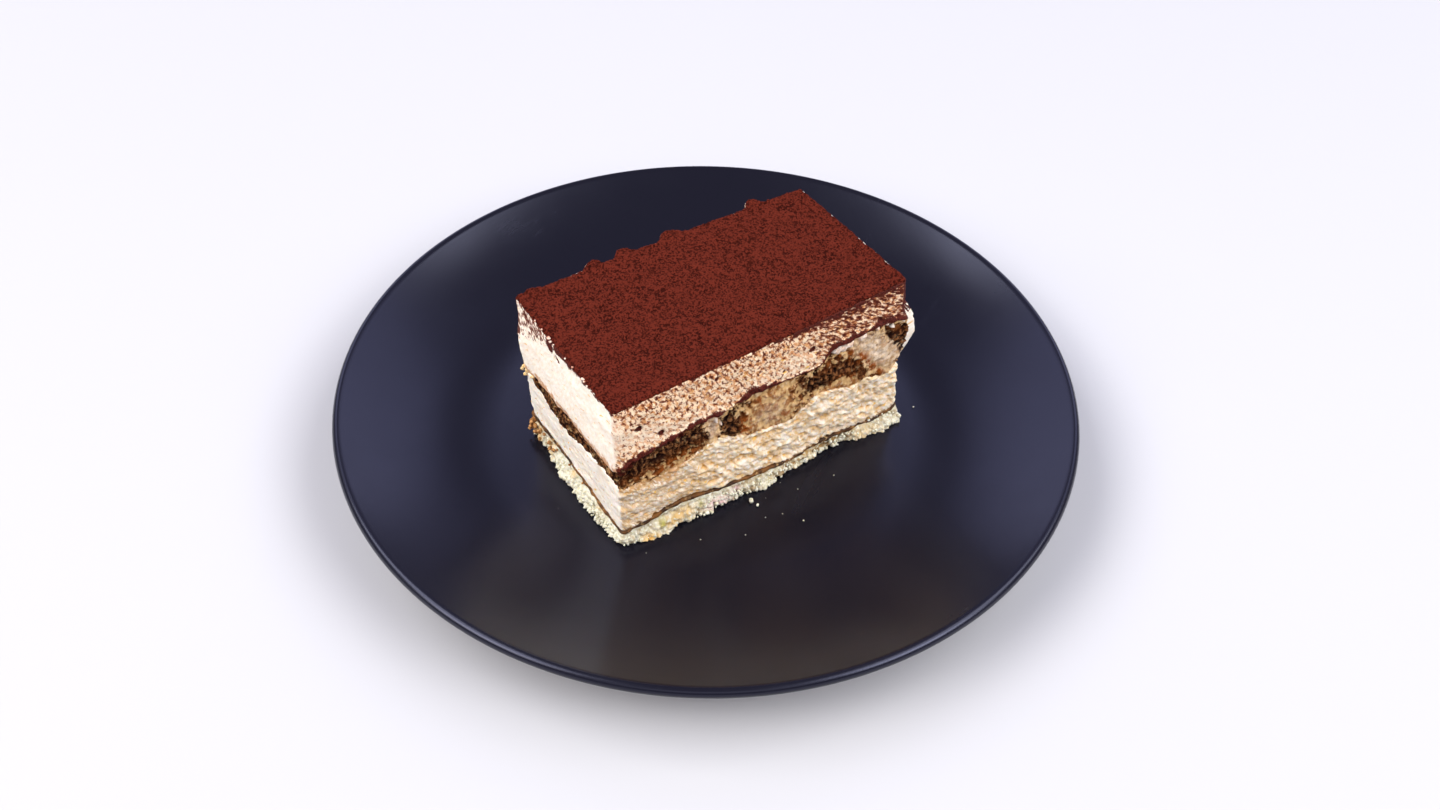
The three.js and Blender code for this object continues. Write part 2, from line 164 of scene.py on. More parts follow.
# Stains and thin spots of the bottom sponge on the long face, in the same order.
TOASTED = ((8.6, 0.5, 3, 1.8, 1.0), (16.5, 3.4, 3, 2.4, 0.6), (22, 4.4, 4, 2.6, 0.65), (70, 3, 6, 2, 0.3))
TOASTED_SIDE = ((57, 3, 5, 3.5, 0.9), (46, 4, 2.4, 2.6, 0.9), (30, 6, 1.4, 1.6, 0.7), (13, 5, 2, 1, 0.5))
PINK = ((33.5, 2.4, 4.5, 2, 0.9), (41, 3.6, 1.8, 1.6, 0.9))
GREENISH = ((13.6, 4.2, 1.2, 1.6, 0.9), (28, 4.6, 0.8, 1.8, 0.6))
BROWNISH = ((45, 4, 6, 3, 0.4), (66, 2, 6, 3, 0.55), (76, 4, 6, 3, 0.4))
# Holes in the upper cream: face, along, height, radius, depth.
HOLES = (
    ("front", 8.4, 48.6, 1.4, 1.6), ("front", 15.9, 43.0, 1.3, 1.4), ("front", 71.9, 49.1, 1.4, 1.6),
    ("front", 61.0, 45.4, 0.8, 0.9), ("front", 36.2, 54.8, 1.1, 1.0), ("front", 98.5, 49.2, 1.2, 1.2),
    ("left", 33.8, 53.4, 1.6, 1.5), ("left", 59.0, 43.6, 1.0, 0.9),
)
# Thickness of the cocoa along the foot of the upper cream, as (share of the long face, thickness).
COCOA_LINE = (
    (0, 1.9), (0.07, 2.0), (0.11, 1.5), (0.16, 2.1), (0.21, 1.9), (0.24, 2.5), (0.3, 2.4), (0.33, 2.0),
    (0.355, 0.7), (0.4, 0.6), (0.42, 2.3), (0.48, 2.6), (0.53, 2.0), (0.56, 0.8), (0.65, 0.9), (0.7, 1.2),
    (0.725, 2.9), (0.81, 2.9), (0.89, 2.3), (0.94, 2.8), (1, 2.3),
)
# Lower edge of the cocoa fallen down the short face, as (share of the face, height).
SIDE_DUST = (
    (0, 59.6), (0.2, 59), (0.33, 58.2), (0.47, 57.2), (0.55, 56.6), (0.63, 55.2), (0.72, 53.6), (0.8, 50),
    (0.88, 47), (0.97, 45), (1, 44),
)
# Cleaner cream on the long face, and places where the fallen cocoa is knocked off the short one.
CLEAN = (
    (10, 44, 9, 4.5, 0.65), (1, 50, 3, 6, 0.7), (30, 43, 12, 3, 0.3), (66, 45, 9, 4, 0.35),
    (50, 46, 8, 3, 0.2),
)
KNOCKED_OFF = ((35.5, 58, 0.8, 1.2, 0.7), (14.5, 58, 0.8, 1.6, 0.8), (22, 58, 1.2, 1, 0.6))
# Clots of cocoa where the creams part near the front corner: along, height, radius.
CLOTS = (
    (-0.6, 35.4, 1.2), (-0.4, 37.4, 0.8), (1.6, 33.2, 1.0), (3.9, 35.2, 1.3), (6.3, 36.9, 0.9),
    (8.2, 38.2, 1.1), (11.8, 37.0, 1.2), (15.8, 38.6, 1.2), (19.4, 39.0, 1.3), (22.6, 38.4, 0.9),
    (26.0, 40.6, 1.1), (30.5, 40.6, 0.9), (36.2, 39.9, 0.9), (46.5, 42.4, 0.9), (52.8, 43.0, 1.2),
    (57.0, 42.9, 0.8),
)
# Crumbs in the plate's well: across, away, size.
WELL_CRUMBS = (
    (15.5, -40.6, 2.1), (17.6, -42.0, 1.2), (32.5, -47.8, 0.6), (72.0, 5.8, 0.7), (-0.5, -57.1, 0.5),
    (13.8, -54.5, 0.4), (43.0, -27.6, 0.5),
)
# Bits that cling to the slice: out of the short face, along it, height, size.
CREAM_BITS = (
    (0.5, 58.8, 31.0, 2.0), (1.2, 59.6, 29.8, 1.8), (0.2, 58.4, 29.2, 2.4), (0.8, 58.6, 28.0, 1.6),
    (0.0, 57.4, 32.2, 1.4), (-0.5, 59.5, 38.6, 0.9), (-0.5, 59.4, 44.0, 1.0), (-0.5, 59.4, 49.0, 0.8),
    (-0.4, 59.5, 23.6, 1.2), (-0.4, 59.5, 19.4, 0.9), (-0.4, 59.5, 13.6, 1.2), (0.1, 55.4, 28.6, 1.4),
    (0.2, 53.6, 30.4, 1.2), (0.1, 49.4, 31.2, 0.9),
)
RIM_BITS = (
    (0.2, 37.3, 60.0, 1.3), (0.4, 36.0, 59.6, 1.0), (0.2, 34.6, 59.4, 0.7), (0.2, 16.8, 60.0, 1.3),
    (0.4, 15.4, 60.2, 1.0), (0.2, 14.2, 59.2, 0.8), (0.1, 46.2, 60.0, 0.8), (0.1, 27.4, 59.6, 0.6),
    (0.2, 22.8, 59.8, 0.7), (0.1, 42.0, 59.8, 0.7),
)
TOAST_FLAKES = (
    (0.6, 57.8, 7.4, 2.4), (1.4, 58.6, 6.0, 2.2), (1.8, 58.2, 4.4, 2.0), (2.4, 58.8, 3.0, 1.6),
    (1.2, 56.4, 5.6, 2.2), (1.8, 55.2, 4.2, 1.9), (1.0, 53.6, 5.4, 2.0), (2.0, 52.4, 3.2, 1.5),
    (0.8, 50.4, 6.6, 1.4), (1.2, 46.4, 6.4, 1.9), (1.8, 45.2, 5.0, 1.8), (1.4, 43.2, 5.8, 1.5),
    (0.8, 41.6, 6.8, 1.1), (0.6, 33.4, 7.2, 1.0), (0.6, 24.6, 6.6, 1.0),
)

# Steps around each layer, and the seed of the first random draws.
AROUND = 1250
SEED = 20


# ---------------- settings for a user

def colour_setting(name, description, *display):
    """A colour, its default given as a display colour from 0 to 255."""
    return FloatVectorProperty(
        name=name, description=description, subtype="COLOR", size=3, default=linear(*display))


def power_setting(name, description, watts):
    return FloatProperty(name=name, description=description, default=watts, subtype="POWER")


class PlateSettings(bpy.types.PropertyGroup):
    radius: FloatProperty(
        name="Radius", description="Radius of the plate over its lip", default=PLATE_BOX[1].x,
        subtype="DISTANCE", unit="LENGTH")
    segments: IntProperty(name="Segments", description="Steps around the plate", default=256, min=48)
    glaze: colour_setting("Glaze", "Colour of the glaze", 16, 15, 22)
    bare_clay: colour_setting("Bare clay", "Colour of the unglazed foot", 92, 80, 70)


class CreamSettings(bpy.types.PropertyGroup):
    cream: colour_setting("Cream", "Colour of clean cream", 254, 244, 228)
    # painted shade: the colour laid in the cream's pits for the shade in them
    pit_shade_colour: colour_setting("Gold", "Colour in the hollows of the cream", 214, 162, 82)
    blush: colour_setting("Blush", "Colour of cream that cocoa has tinted", 218, 155, 100)
    custard: colour_setting("Custard", "Colour of the lower cream on the long face", 252, 240, 220)
    relief: FloatProperty(name="Relief", description="Depth of the knife's drag", default=1.0, min=0, max=2)


class SpongeSettings(bpy.types.PropertyGroup):
    crumb: colour_setting("Crumb", "Colour of dry crumb", 234, 231, 212)
    toasted: colour_setting("Toasted", "Colour of toasted crumb", 226, 178, 96)
    pale: colour_setting("Pale", "Colour of barely soaked sponge", 214, 173, 116)
    soaked: colour_setting("Soaked", "Colour of sponge soaked with coffee", 34, 11, 4)
    rust: colour_setting("Rust", "Colour where the soaking fades out", 146, 74, 22)


class CocoaSettings(bpy.types.PropertyGroup):
    powder: colour_setting("Powder", "Colour of the cocoa", 93, 35, 24)
    # painted shade: the powder's colour where it lies low, for the shade in its gaps and cracks
    pits: colour_setting("Pits", "Colour of the cocoa in its pits", 44, 12, 7)
    crumbs: IntProperty(name="Crumbs", description="Crumbs along the foot of the slice", default=620, min=0)


class StageSettings(bpy.types.PropertyGroup):
    floor: FloatVectorProperty(
        name="Floor", description="Colour of the floor", subtype="COLOR", size=3,
        default=(0.512, 0.508, 0.522))
    left: power_setting("Left softbox", "Power of the softbox at the left", 48.0)
    right: power_setting("Right softbox", "Power of the softbox at the right", 40.0)
    front_left: power_setting("Front left", "Power of the light on the short face", 28.0)
    front_right: power_setting("Front right", "Power of the light on the long face", 27.0)
    walls: power_setting("Walls", "Power of the pale walls behind", 11.0)
    fill: power_setting("Fill", "Power of the fill in front", 6.0)


# ---------------- smooth lines and sheets

def mix(a, b, t):
    return a + (b - a) * t


def smooth(t):
    """An eased step from 0 to 1."""
    t = np.clip(t, 0, 1)
    return t * t * (3 - 2 * t)


def ramp(value, start, run):
    """An eased rise from 0 at the start to 1 after the run."""
    return smooth((value - start) / run)


def fall(value, end, run):
    """An eased fall to 0 at the end, from 1 a run before it."""
    return smooth((end - value) / run)


def curve_through(points, share):
    """A smooth curve through (share, value) points, each piece the Hermite cubic whose end
    slopes are those of the chords between its neighbours, flat beyond its ends."""
    xs, ys = np.array(points, float).T
    before = np.maximum(np.arange(len(xs)) - 1, 0)
    after = np.minimum(np.arange(len(xs)) + 1, len(xs) - 1)
    slopes = (ys[after] - ys[before]) / (xs[after] - xs[before])
    x = np.clip(share, 0, 1)
    i = np.clip(np.searchsorted(xs, x, side="left") - 1, 0, len(xs) - 2)
    step = xs[i + 1] - xs[i]
    t = (x - xs[i]) / step
    rise = 3 * t ** 2 - 2 * t ** 3
    leave = t ** 3 - 2 * t ** 2 + t
    arrive = t ** 3 - t ** 2
    return mix(ys[i], ys[i + 1], rise) + step * (slopes[i] * leave + slopes[i + 1] * arrive)


def sheet_between(lines):
    """A smooth sheet over the slice that meets the four lines on its faces: the blend along
    x of two lines, plus the blend along y of the other two, less the blend of the corners."""
    def height(p, q):
        front, back = curve_through(lines["front"], p), curve_through(lines["back"], p)
        left, right = curve_through(lines["left"], q), curve_through(lines["right"], q)
        near = mix(lines["front"][0][1], lines["front"][-1][1], p)
        far = mix(lines["back"][0][1], lines["back"][-1][1], p)
        return mix(front, back, q) + mix(left, right, p) - mix(near, far, q)
    return height


soak_line = sheet_between(SOAK_LINE)
cream_line = sheet_between(CREAM_LINE)
sponge_line = sheet_between(SPONGE_LINE)


def top_line(p, q):
    return SLICE.height + SLICE.rise * p + 0.3 * np.sin(7 * p + 1) * np.cos(4 * q)


# ---------------- unevenness

# The steep sine behind all unevenness: its steepness along, up and by seed, and its height.
WAVE = (12.9898, 78.233, 37.719)
WAVE_HEIGHT = 43758.5453
OCTAVE_SEED = 17
# Strewn seeds keep this far from their cell's edge; dents reach this far from theirs.
SEED_MARGIN = 0.15
DENT_WIDTH = 0.5


def cell_value(i, j, seed):
    """A repeatable value from 0 to 1 for a cell of a grid: the loose end of a steep sine."""
    wave = np.sin(i * WAVE[0] + j * WAVE[1] + seed * WAVE[2]) * WAVE_HEIGHT
    return wave - np.floor(wave)


def unevenness(share, height, cells, cell_height, seed):
    """Smooth unevenness from -1 to 1: random values on a grid of cells around the slice and
    up its side, blended smoothly between the grid's corners and closed on itself."""
    x, y = share * cells, height / cell_height
    i, j = np.floor(x), np.floor(y)
    tx, ty = smooth(x - i), smooth(y - j)
    rows = [mix(cell_value(i % cells, j + dj, seed), cell_value((i + 1) % cells, j + dj, seed), tx)
            for dj in (0, 1)]
    return 2 * mix(rows[0], rows[1], ty) - 1


def layered(share, height, cells, cell_height, seed, octaves=3):
    """Unevenness summed over octaves, each half the size and half the strength."""
    total, norm = 0, 0.0
    for octave in range(octaves):
        scale = 2 ** octave
        finer = unevenness(share, height, cells * scale, cell_height / scale, seed + OCTAVE_SEED * octave)
        total = total + finer / scale
        norm += 1 / scale
    return total / norm


def nearest_seed(share, height, cells, cell_height, seed):
    """Distance, in cells, to the nearest of the seeds strewn one to a cell, a value from 0 to
    1 that belongs to that seed, and how far above the seed the point lies."""
    x, y = share * cells, height / cell_height + 0 * share
    i, j = np.floor(x), np.floor(y)
    best = np.full(np.shape(x), 9.0)
    owner, rise = np.zeros(np.shape(x)), np.zeros(np.shape(x))
    room = 1 - 2 * SEED_MARGIN
    for di, dj in itertools.product((-1, 0, 1), repeat=2):
        column, row = (i + di) % cells, j + dj
        sx = i + di + SEED_MARGIN + room * cell_value(column, row, seed)
        sy = row + SEED_MARGIN + room * cell_value(column, row, seed + 5)
        gap = np.hypot(x - sx, y - sy)
        closer = gap < best
        best = np.where(closer, gap, best)
        owner = np.where(closer, cell_value(column, row, seed + 9), owner)
        rise = np.where(closer, y - sy, rise)
    return best, owner, rise


def grains(share, height, cells, cell_height, seed):
    """Rounded grains side by side: 1 on top of a grain and about 0 in the gaps."""
    return np.clip(1 - 1.25 * nearest_seed(share, height, cells, cell_height, seed)[0], 0, 1)


def dents(share, height, cells, cell_height, seed, share_dented):
    """Round-bottomed dents from 0 to 1 at some of the strewn seeds."""
    gap, owner, _ = nearest_seed(share, height, cells, cell_height, seed)
    return np.where(owner < share_dented, smooth(1 - gap / DENT_WIDTH), 0)


def bell(offset, reach, power=2):
    """1 in the middle, falling away over a reach; the higher the power, the flatter its top."""
    return np.exp(-np.abs(offset / reach) ** power)


def patches(spots, along, height):
    """The sum of soft round patches: strength times a bell of the distance over the reach."""
    return sum(s * np.exp(-((along - x) / rx) ** 2 - ((height - h) / rh) ** 2) for x, h, rx, rh, s in spots)


# ---------------- the outline of the cut

def crowded(share):
    pull = [t - CROWDING.strength * CROWDING.reach * np.tanh((t - CROWDING.centre) / CROWDING.reach)
            for t in (share, 0.0, 1.0)]
    return (pull[0] - pull[1]) / (pull[2] - pull[1])


SHARES = np.linspace(0, 1, 4001)
CROWDED_SHARES = crowded(SHARES)


def outline(way):
    """The rectangle with rounded corners at even shares of the way round it: p and q as
    shares of the length and width, and the way out of the slice."""
    length, width, r = SLICE.length, SLICE.width, SLICE.corner_radius
    runs = (length - 2 * r, width - 2 * r)
    bend = math.pi / 2 * r
    centres = ((r, r), (length - r, r), (length - r, width - r), (r, width - r))
    gone = np.asarray(way) * perimeter()
    x, y, out_x, out_y = (np.zeros(np.shape(gone)) for _ in range(4))
    start = 0.0
    for side, (cx, cy) in enumerate(centres):
        turn = (side - 1) * math.pi / 2
        run = np.clip(gone - start, 0, runs[side % 2])
        angle = turn + np.clip(gone - start - run, 0, bend) / r
        here = gone >= start
        out_x, out_y = np.where(here, np.cos(angle), out_x), np.where(here, np.sin(angle), out_y)
        x = np.where(here, cx - math.sin(turn) * run + np.cos(angle) * r, x)
        y = np.where(here, cy + math.cos(turn) * run + np.sin(angle) * r, y)
        start += runs[side % 2] + bend
    return x / length, y / width, out_x, out_y


def perimeter():
    """The way round the cut: two long runs, two short ones and four quarter circles."""
    r = SLICE.corner_radius
    return 2 * (SLICE.length + SLICE.width - 4 * r) + 2 * math.pi * r


def inside(p, q, inset):
    """The outline's shares moved inside the cut by shrinking them about its middle."""
    return (0.5 + (p - 0.5) * (1 - 2 * inset / SLICE.length),
            0.5 + (q - 0.5) * (1 - 2 * inset / SLICE.width))


def place(p, q, height, push_x=0.0, push_y=0.0):
    """The point of the slice at shares p and q and a height in millimetres: the corners'
    drift blended over the cut and growing with height, then the slice's turn, in metres."""
    lean = height / SLICE.height
    front, right, back, left = SLICE.drift
    drift = [mix(mix(front[k], right[k], p), mix(left[k], back[k], p), q) * lean for k in (0, 1)]
    x = p * SLICE.length + drift[0] + push_x
    y = q * SLICE.width + drift[1] + push_y
    cos, sin = math.cos(SLICE.yaw), math.sin(SLICE.yaw)
    return np.stack([
        SLICE.corner[0] + x * cos - y * sin,
        SLICE.corner[1] + x * sin + y * cos,
        PLATE.well_height + height + 0 * x,
    ], axis=-1) * MM


def on_right_end(p, q, start, run):
    """How fully a step lies on the right end, rising over a short run from either long face."""
    from_cut = np.minimum(q, 1 - q) * SLICE.width
    return np.where(p < 0.5, 0, ramp(from_cut, start, run))


class Side(SimpleNamespace):
    """The side of a layer as a grid of rows by steps, with all that its relief reads."""

    def solid(self, cells, cell_height, seed):
        """The unevenness that the frame's solid has too."""
        return unevenness(self.share, self.height, cells, cell_height, seed)

    def uneven(self, cells, cell_height, seed):
        return layered(self.way, self.height, cells, cell_height, seed)


def side_of(way, rows, lower, upper):
    """The side of a layer between two sheets, at so many heights."""
    p, q, out_x, out_y = outline(way)
    t = np.linspace(0, 1, rows)[:, None]
    height = mix(lower(p, q), upper(p, q), t)
    values = {"way": way, "share": np.interp(way, CROWDED_SHARES, SHARES), "t": t, "p": p, "q": q}
    g = Side(
        **{name: value + 0 * height for name, value in values.items()},
        height=height, below=height - lower(p, q), above=upper(p, q) - height)
    g.x, g.y = g.p * SLICE.length, g.q * SLICE.width
    g.out_x, g.out_y = out_x + 0 * height, out_y + 0 * height
    g.front, g.back = np.maximum(-g.out_y, 0), np.maximum(g.out_y, 0)
    g.left, g.right = np.maximum(-g.out_x, 0), np.maximum(g.out_x, 0)
    g.long_cut, g.short_cut = smooth(g.front * 4 - 2), smooth(g.left * 4 - 2)
    return g


def rounding(gap, radius):
    """How far a rounded edge falls back at a distance from it: a quarter circle."""
    reach = np.clip(1 - gap / radius, 0, 1)
    return radius * (1 - np.sqrt(1 - reach ** 2))


def belly(g):
    """The long face bellies out a little near its foot, left of its middle."""
    return g.front * 1.4 * bell(g.p - 0.37, 0.2) * np.clip(1 - g.height / 34, 0, 1)


def ragged(way, reach, seed):
    """How a dividing line strays from its smooth course, in tears of a few millimetres."""
    return reach * (0.6 * unevenness(way, 0, 96, 1, seed) + 0.4 * unevenness(way, 0, 240, 1, seed + 1))


# ---------------- meshes

def make_mesh(name, points, quads, tris=()):
    """A mesh object from arrays of points, quads and triangles, at the origin."""
    quads = np.asarray(quads, np.int32).reshape(-1, 4)
    tris = np.asarray(tris, np.int32).reshape(-1, 3)
    mesh = bpy.data.meshes.new(name)
    mesh.vertices.add(len(points))
    mesh.vertices.foreach_set("co", np.asarray(points, np.float32).ravel())
    corners = np.concatenate([quads.ravel(), tris.ravel()])
    mesh.loops.add(len(corners))
    mesh.loops.foreach_set("vertex_index", corners)
    mesh.polygons.add(len(quads) + len(tris))
    starts = np.concatenate([4 * np.arange(len(quads)), 4 * len(quads) + 3 * np.arange(len(tris))])
    mesh.polygons.foreach_set("loop_start", starts.astype(np.int32))
    mesh.update(calc_edges=True)
    mesh.shade_smooth()
    piece = bpy.data.objects.new(name, mesh)
    bpy.context.scene.collection.objects.link(piece)
    return piece


def ring_faces(rings, around, first=0):
    """Quads between neighbouring rings of one closed surface, counted ring after ring."""
    ring = first + around * np.arange(rings)[:, None]
    here, after = ring + np.arange(around), ring + np.roll(np.arange(around), -1)
    return np.stack([here[:-1], after[:-1], after[1:], here[1:]], axis=-1).reshape(-1, 4)


def pole_faces(start, around, pole, upwards):
    """The fan that closes a ring at a pole."""
    here = start + np.arange(around)
    after = start + np.roll(np.arange(around), -1)
    fan = [here, after] if upwards else [after, here]
    return np.stack([*fan, np.full(around, pole)], axis=-1)


def closed_rings(name, rings, low_pole, high_pole):
    """A closed surface through rings of points, from a pole below to a pole above."""
    count, around = rings.shape[:2]
    points = np.concatenate([rings.reshape(-1, 3), [low_pole, high_pole]])
    tris = np.concatenate([
        pole_faces(0, around, count * around, False),
        pole_faces((count - 1) * around, around, count * around + 1, True),
    ])
    return make_mesh(name, points, ring_faces(count, around), tris)


def give(piece, name, values):
    """Stores a value, held from 0 to 1, at each of the piece's points, for its material."""
    attribute = piece.data.attributes.new(name, "FLOAT", "POINT")
    full = np.zeros(len(piece.data.vertices), np.float32)
    values = np.asarray(values, np.float32).ravel()
    full[:len(values)] = np.clip(values, 0, 1)
    attribute.data.foreach_set("value", full)


def finish_piece(piece, material, slot, *nodes):
    piece.data.materials.append(material)
    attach(piece, "root")
    if nodes:
        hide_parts(*nodes)


CAP_INSETS = (2.6, 9.0, 18.0)


def cap_rings(way, sheet, insets=CAP_INSETS):
    """Rings inside the cut that close a layer, on its sheet."""
    p, q, _, _ = outline(way)
    shares = [inside(p, q, inset) for inset in insets]
    return np.stack([place(a, b, sheet(a, b)) for a, b in shares])


def layer_piece(name, g, push, lower, upper, shift=0.0, floor=None, masks=None):
    """A closed layer: rings inside the cut below, its side g pushed out by push, and rings
    inside the cut above. Its masks are stored for the side and carried over the caps."""
    side = place(g.p, g.q, g.height, g.out_x * push + shift, g.out_y * push)
    way = g.way[0]
    below = cap_rings(way, lower) if floor is None else floor
    above = cap_rings(way, upper)
    rings = np.concatenate([below[::-1], side, above])
    piece = closed_rings(name, rings, place(0.5, 0.5, lower(0.5, 0.5)), place(0.5, 0.5, upper(0.5, 0.5)))
    for mask, values in (masks or {}).items():
        rows = [values[:1]] * len(below) + [values] + [values[-1:]] * len(above)
        give(piece, mask, np.concatenate(rows))
    add_cut_map(piece, g, len(below), len(above))
    return piece


def add_cut_map(piece, g, below, above):
    """A UV map in millimetres that follows the side: u is the way round, v the height."""
    count, around = g.height.shape
    u = np.arange(around + 1) * (perimeter() / around)
    heights = np.concatenate([
        np.repeat(g.height[:1], below, 0), g.height, np.repeat(g.height[-1:], above, 0)])
    heights = np.concatenate([heights, heights[:, :1]], axis=1)
    rows = len(heights) - 1
    left, right = np.tile(u[:-1], (rows, 1)), np.tile(u[1:], (rows, 1))
    quad_u = np.stack([left, right, right, left], axis=-1)
    quad_v = np.stack([heights[:-1, :-1], heights[:-1, 1:], heights[1:, 1:], heights[1:, :-1]], axis=-1)
    uv = np.zeros((len(piece.data.loops), 2), np.float32)
    flat = np.stack([quad_u.ravel(), quad_v.ravel()], axis=-1)
    uv[:len(flat)] = flat
    piece.data.uv_layers.new(name="cut").data.foreach_set("uv", uv.ravel())


# ---------------- materials

FAT_SCATTER = (1.0, 0.7, 0.4)
# Sockets of the mix node for colours: amount, both colours, and its outcome.
MIX_AMOUNT, MIX_A, MIX_B, MIX_OUT = 0, 6, 7, 2


def shade(colour, *factors):
    """A colour times one factor, or times a factor for each of its channels."""
    return tuple(c * s for c, s in zip(colour, factors * 3))


class Finish:
    """One material: its shader, the colour painted so far, and short calls that add the nodes
    of its patterns, which lie on the side's own map or in the frame."""

    def __init__(self, name, roughness, specular, on_cut=False):
        self.material = bpy.data.materials.new(name)
        self.material.use_nodes = True
        self.tree = self.material.node_tree
        self.shader = next(n for n in self.tree.nodes if n.type == "BSDF_PRINCIPLED")
        self.set("Roughness", roughness)
        self.set("Specular IOR Level", specular)
        self.on_cut = on_cut
        self.painted = None
        self.places = {}

    def set(self, socket, value):
        """Sets a socket of the shader to a constant, or links it to a node's output."""
        self.plug(self.shader.inputs[socket], value)

    def plug(self, socket, value):
        if isinstance(value, bpy.types.NodeSocket):
            self.tree.links.new(value, socket)
        elif hasattr(value, "__len__") and len(value) == 3 and socket.type == "RGBA":
            socket.default_value = (*value, 1.0)
        else:
            socket.default_value = value

    def node(self, kind, inputs=(), **settings):
        made = self.tree.nodes.new(kind)
        for key, value in settings.items():
            setattr(made, key, value)
        for key, value in dict(inputs).items():
            self.plug(made.inputs[key], value)
        return made

    def mask(self, name):
        """A value stored on the piece."""
        return self.node("ShaderNodeAttribute", attribute_name=name).outputs["Fac"]

    def spot(self, turn=0.0, stretch=(1.0, 1.0)):
        """Coordinates in millimetres, turned and then stretched."""
        key = (turn, stretch)
        if key not in self.places:
            scale = (*stretch, 1.0)
            if self.on_cut:
                source = self.node("ShaderNodeUVMap", uv_map="cut").outputs["UV"]
            else:
                source = self.node("ShaderNodeTexCoord").outputs["Object"]
                scale = tuple(s / MM for s in scale)
            turned = self.node("ShaderNodeVectorRotate", {"Vector": source, "Angle": turn},
                               rotation_type="Z_AXIS").outputs["Vector"]
            self.places[key] = self.node("ShaderNodeVectorMath", {0: turned, 1: scale},
                                         operation="MULTIPLY").outputs["Vector"]
        return self.places[key]

    def noise(self, size, detail=3.0, roughness=0.55, distortion=0.0, **spot):
        """Noise from 0 to 1 with features of a size in millimetres."""
        return self.node("ShaderNodeTexNoise", {
            "Vector": self.spot(**spot), "Scale": 1 / size, "Detail": detail, "Roughness": roughness,
            "Distortion": distortion,
        }).outputs["Fac"]

    def between(self, value, low, high, out_low=0.0, out_high=1.0):
        """The value's place between two limits, eased at both ends."""
        return self.node("ShaderNodeMapRange", {
            "Value": value, "From Min": low, "From Max": high, "To Min": out_low, "To Max": out_high,
        }, interpolation_type="SMOOTHSTEP").outputs["Result"]

    def math(self, operation, a, b):
        return self.node("ShaderNodeMath", {0: a, 1: b}, operation=operation).outputs[0]

    def frayed(self, name, pattern, low, high, by):
        """A value stored on the piece, lowered and raised by a pattern, which frays its edge."""
        return self.math("ADD", self.mask(name), self.between(pattern, low, high, -by, by))

    def blend(self, amount, a, b):
        """Colour a where the amount is 0 and colour b where it is 1."""
        mixer = self.node("ShaderNodeMix", data_type="RGBA", clamp_factor=True)
        for socket, value in ((MIX_AMOUNT, amount), (MIX_A, a), (MIX_B, b)):
            self.plug(mixer.inputs[socket], value)
        return mixer.outputs[MIX_OUT]

    def mottled(self, pattern, low, high, a, b, most=1.0):
        """Colour a where a pattern is low, and colour b, at most so fully, where it is high."""
        return self.blend(self.between(pattern, low, high, 0.0, most), a, b)

    def lay(self, colour, amount, share=None):
        """Paints a colour over what is painted so far, by an amount, or a share of it. An
        amount given by its name is a value stored on the piece."""
        if isinstance(amount, str):
            amount = self.mask(amount)
        if share is not None:
            amount = self.math("MULTIPLY", amount, share)
        self.painted = self.blend(amount, self.painted, colour)

    def soften(self, weight, reach):
        """Light that spreads under the surface, over a reach in millimetres."""
        self.set("Subsurface Weight", weight)
        self.set("Subsurface Radius", FAT_SCATTER)
        self.set("Subsurface Scale", reach * MM)

    def finished(self, relief=None, depth=0.0):
        """The material as painted, with fine relief: a height from 0 to 1 over a depth in
        millimetres."""
        self.set("Base Color", self.painted)
        if relief is not None:
            bump = self.node("ShaderNodeBump", {"Height": relief, "Distance": depth * MM, "Strength": 1.0})
            self.set("Normal", bump.outputs["Normal"])
        return self.material


def glaze_finish(settings):
    """Satin dark glaze: mottled gloss, faint smears, and bare clay on the foot."""
    f = Finish("dark_satin_glaze", 0.25, 0.42)
    f.set("Specular Tint", (0.68, 0.71, 1.0))
    cloud = f.noise(30)
    smear = f.between(f.noise(14, 5.0, 0.7, 0.6, turn=0.5, stretch=(1.0, 0.12)), 0.62, 0.8)
    clay = f.mask("bare")
    f.painted = settings.glaze
    f.lay(shade(settings.glaze, 2.2), smear, 0.35)
    f.lay(shade(settings.glaze, 0.6), f.between(cloud, 0.3, 0.7, 0.0, 0.25))
    f.lay(f.blend(f.noise(0.9), settings.bare_clay, shade(settings.bare_clay, 0.7)), clay)
    gloss = f.math("ADD", f.between(cloud, 0.2, 0.8, 0.22, 0.27), f.math("MULTIPLY", smear, 0.08))
    f.set("Roughness", f.math("ADD", gloss, f.math("MULTIPLY", clay, 0.5)))
    return f.finished(f.noise(1.2, 2.0), 0.012)


def crumb_finish(settings):
    """Dry torn crumb: pale, with painted shade that makes it darker and yellower in its hollows,
    with toasted and stained patches, and a brown that is partly stain and partly painted shade."""
    f = Finish("dry_crumb", 0.9, 0.2)
    fine = f.noise(0.9, 4.0, 0.65)
    f.painted = f.mottled(fine, 0.4, 0.65, settings.crumb, shade(settings.crumb, 0.78, 0.74, 0.58))
    # painted shade: darker and yellower in the hollows of the crumb
    f.lay(linear(160, 138, 92), "hollow", 0.85)
    # brown stains, and painted shade over the whole long face
    f.lay(linear(150, 116, 68), "brownish", f.between(f.noise(1.5), 0.35, 0.6))
    f.lay(settings.toasted, "toasted", f.between(f.noise(1.8), 0.3, 0.55))
    f.lay(linear(226, 178, 186), "pink", f.between(fine, 0.35, 0.6))
    f.lay(linear(176, 166, 70), "greenish")
    f.soften(0.14, 0.8)
    return f.finished(f.noise(0.45, 4.0, 0.7), 0.16)


def bit_finish(name, light, dark):
    """Torn bits, mottled between two colours."""
    f = Finish(name, 0.8, 0.2)
    f.painted = f.mottled(f.noise(0.9, 3.0), 0.38, 0.62, light, dark)
    return f.finished(f.noise(0.5, 3.0), 0.12)


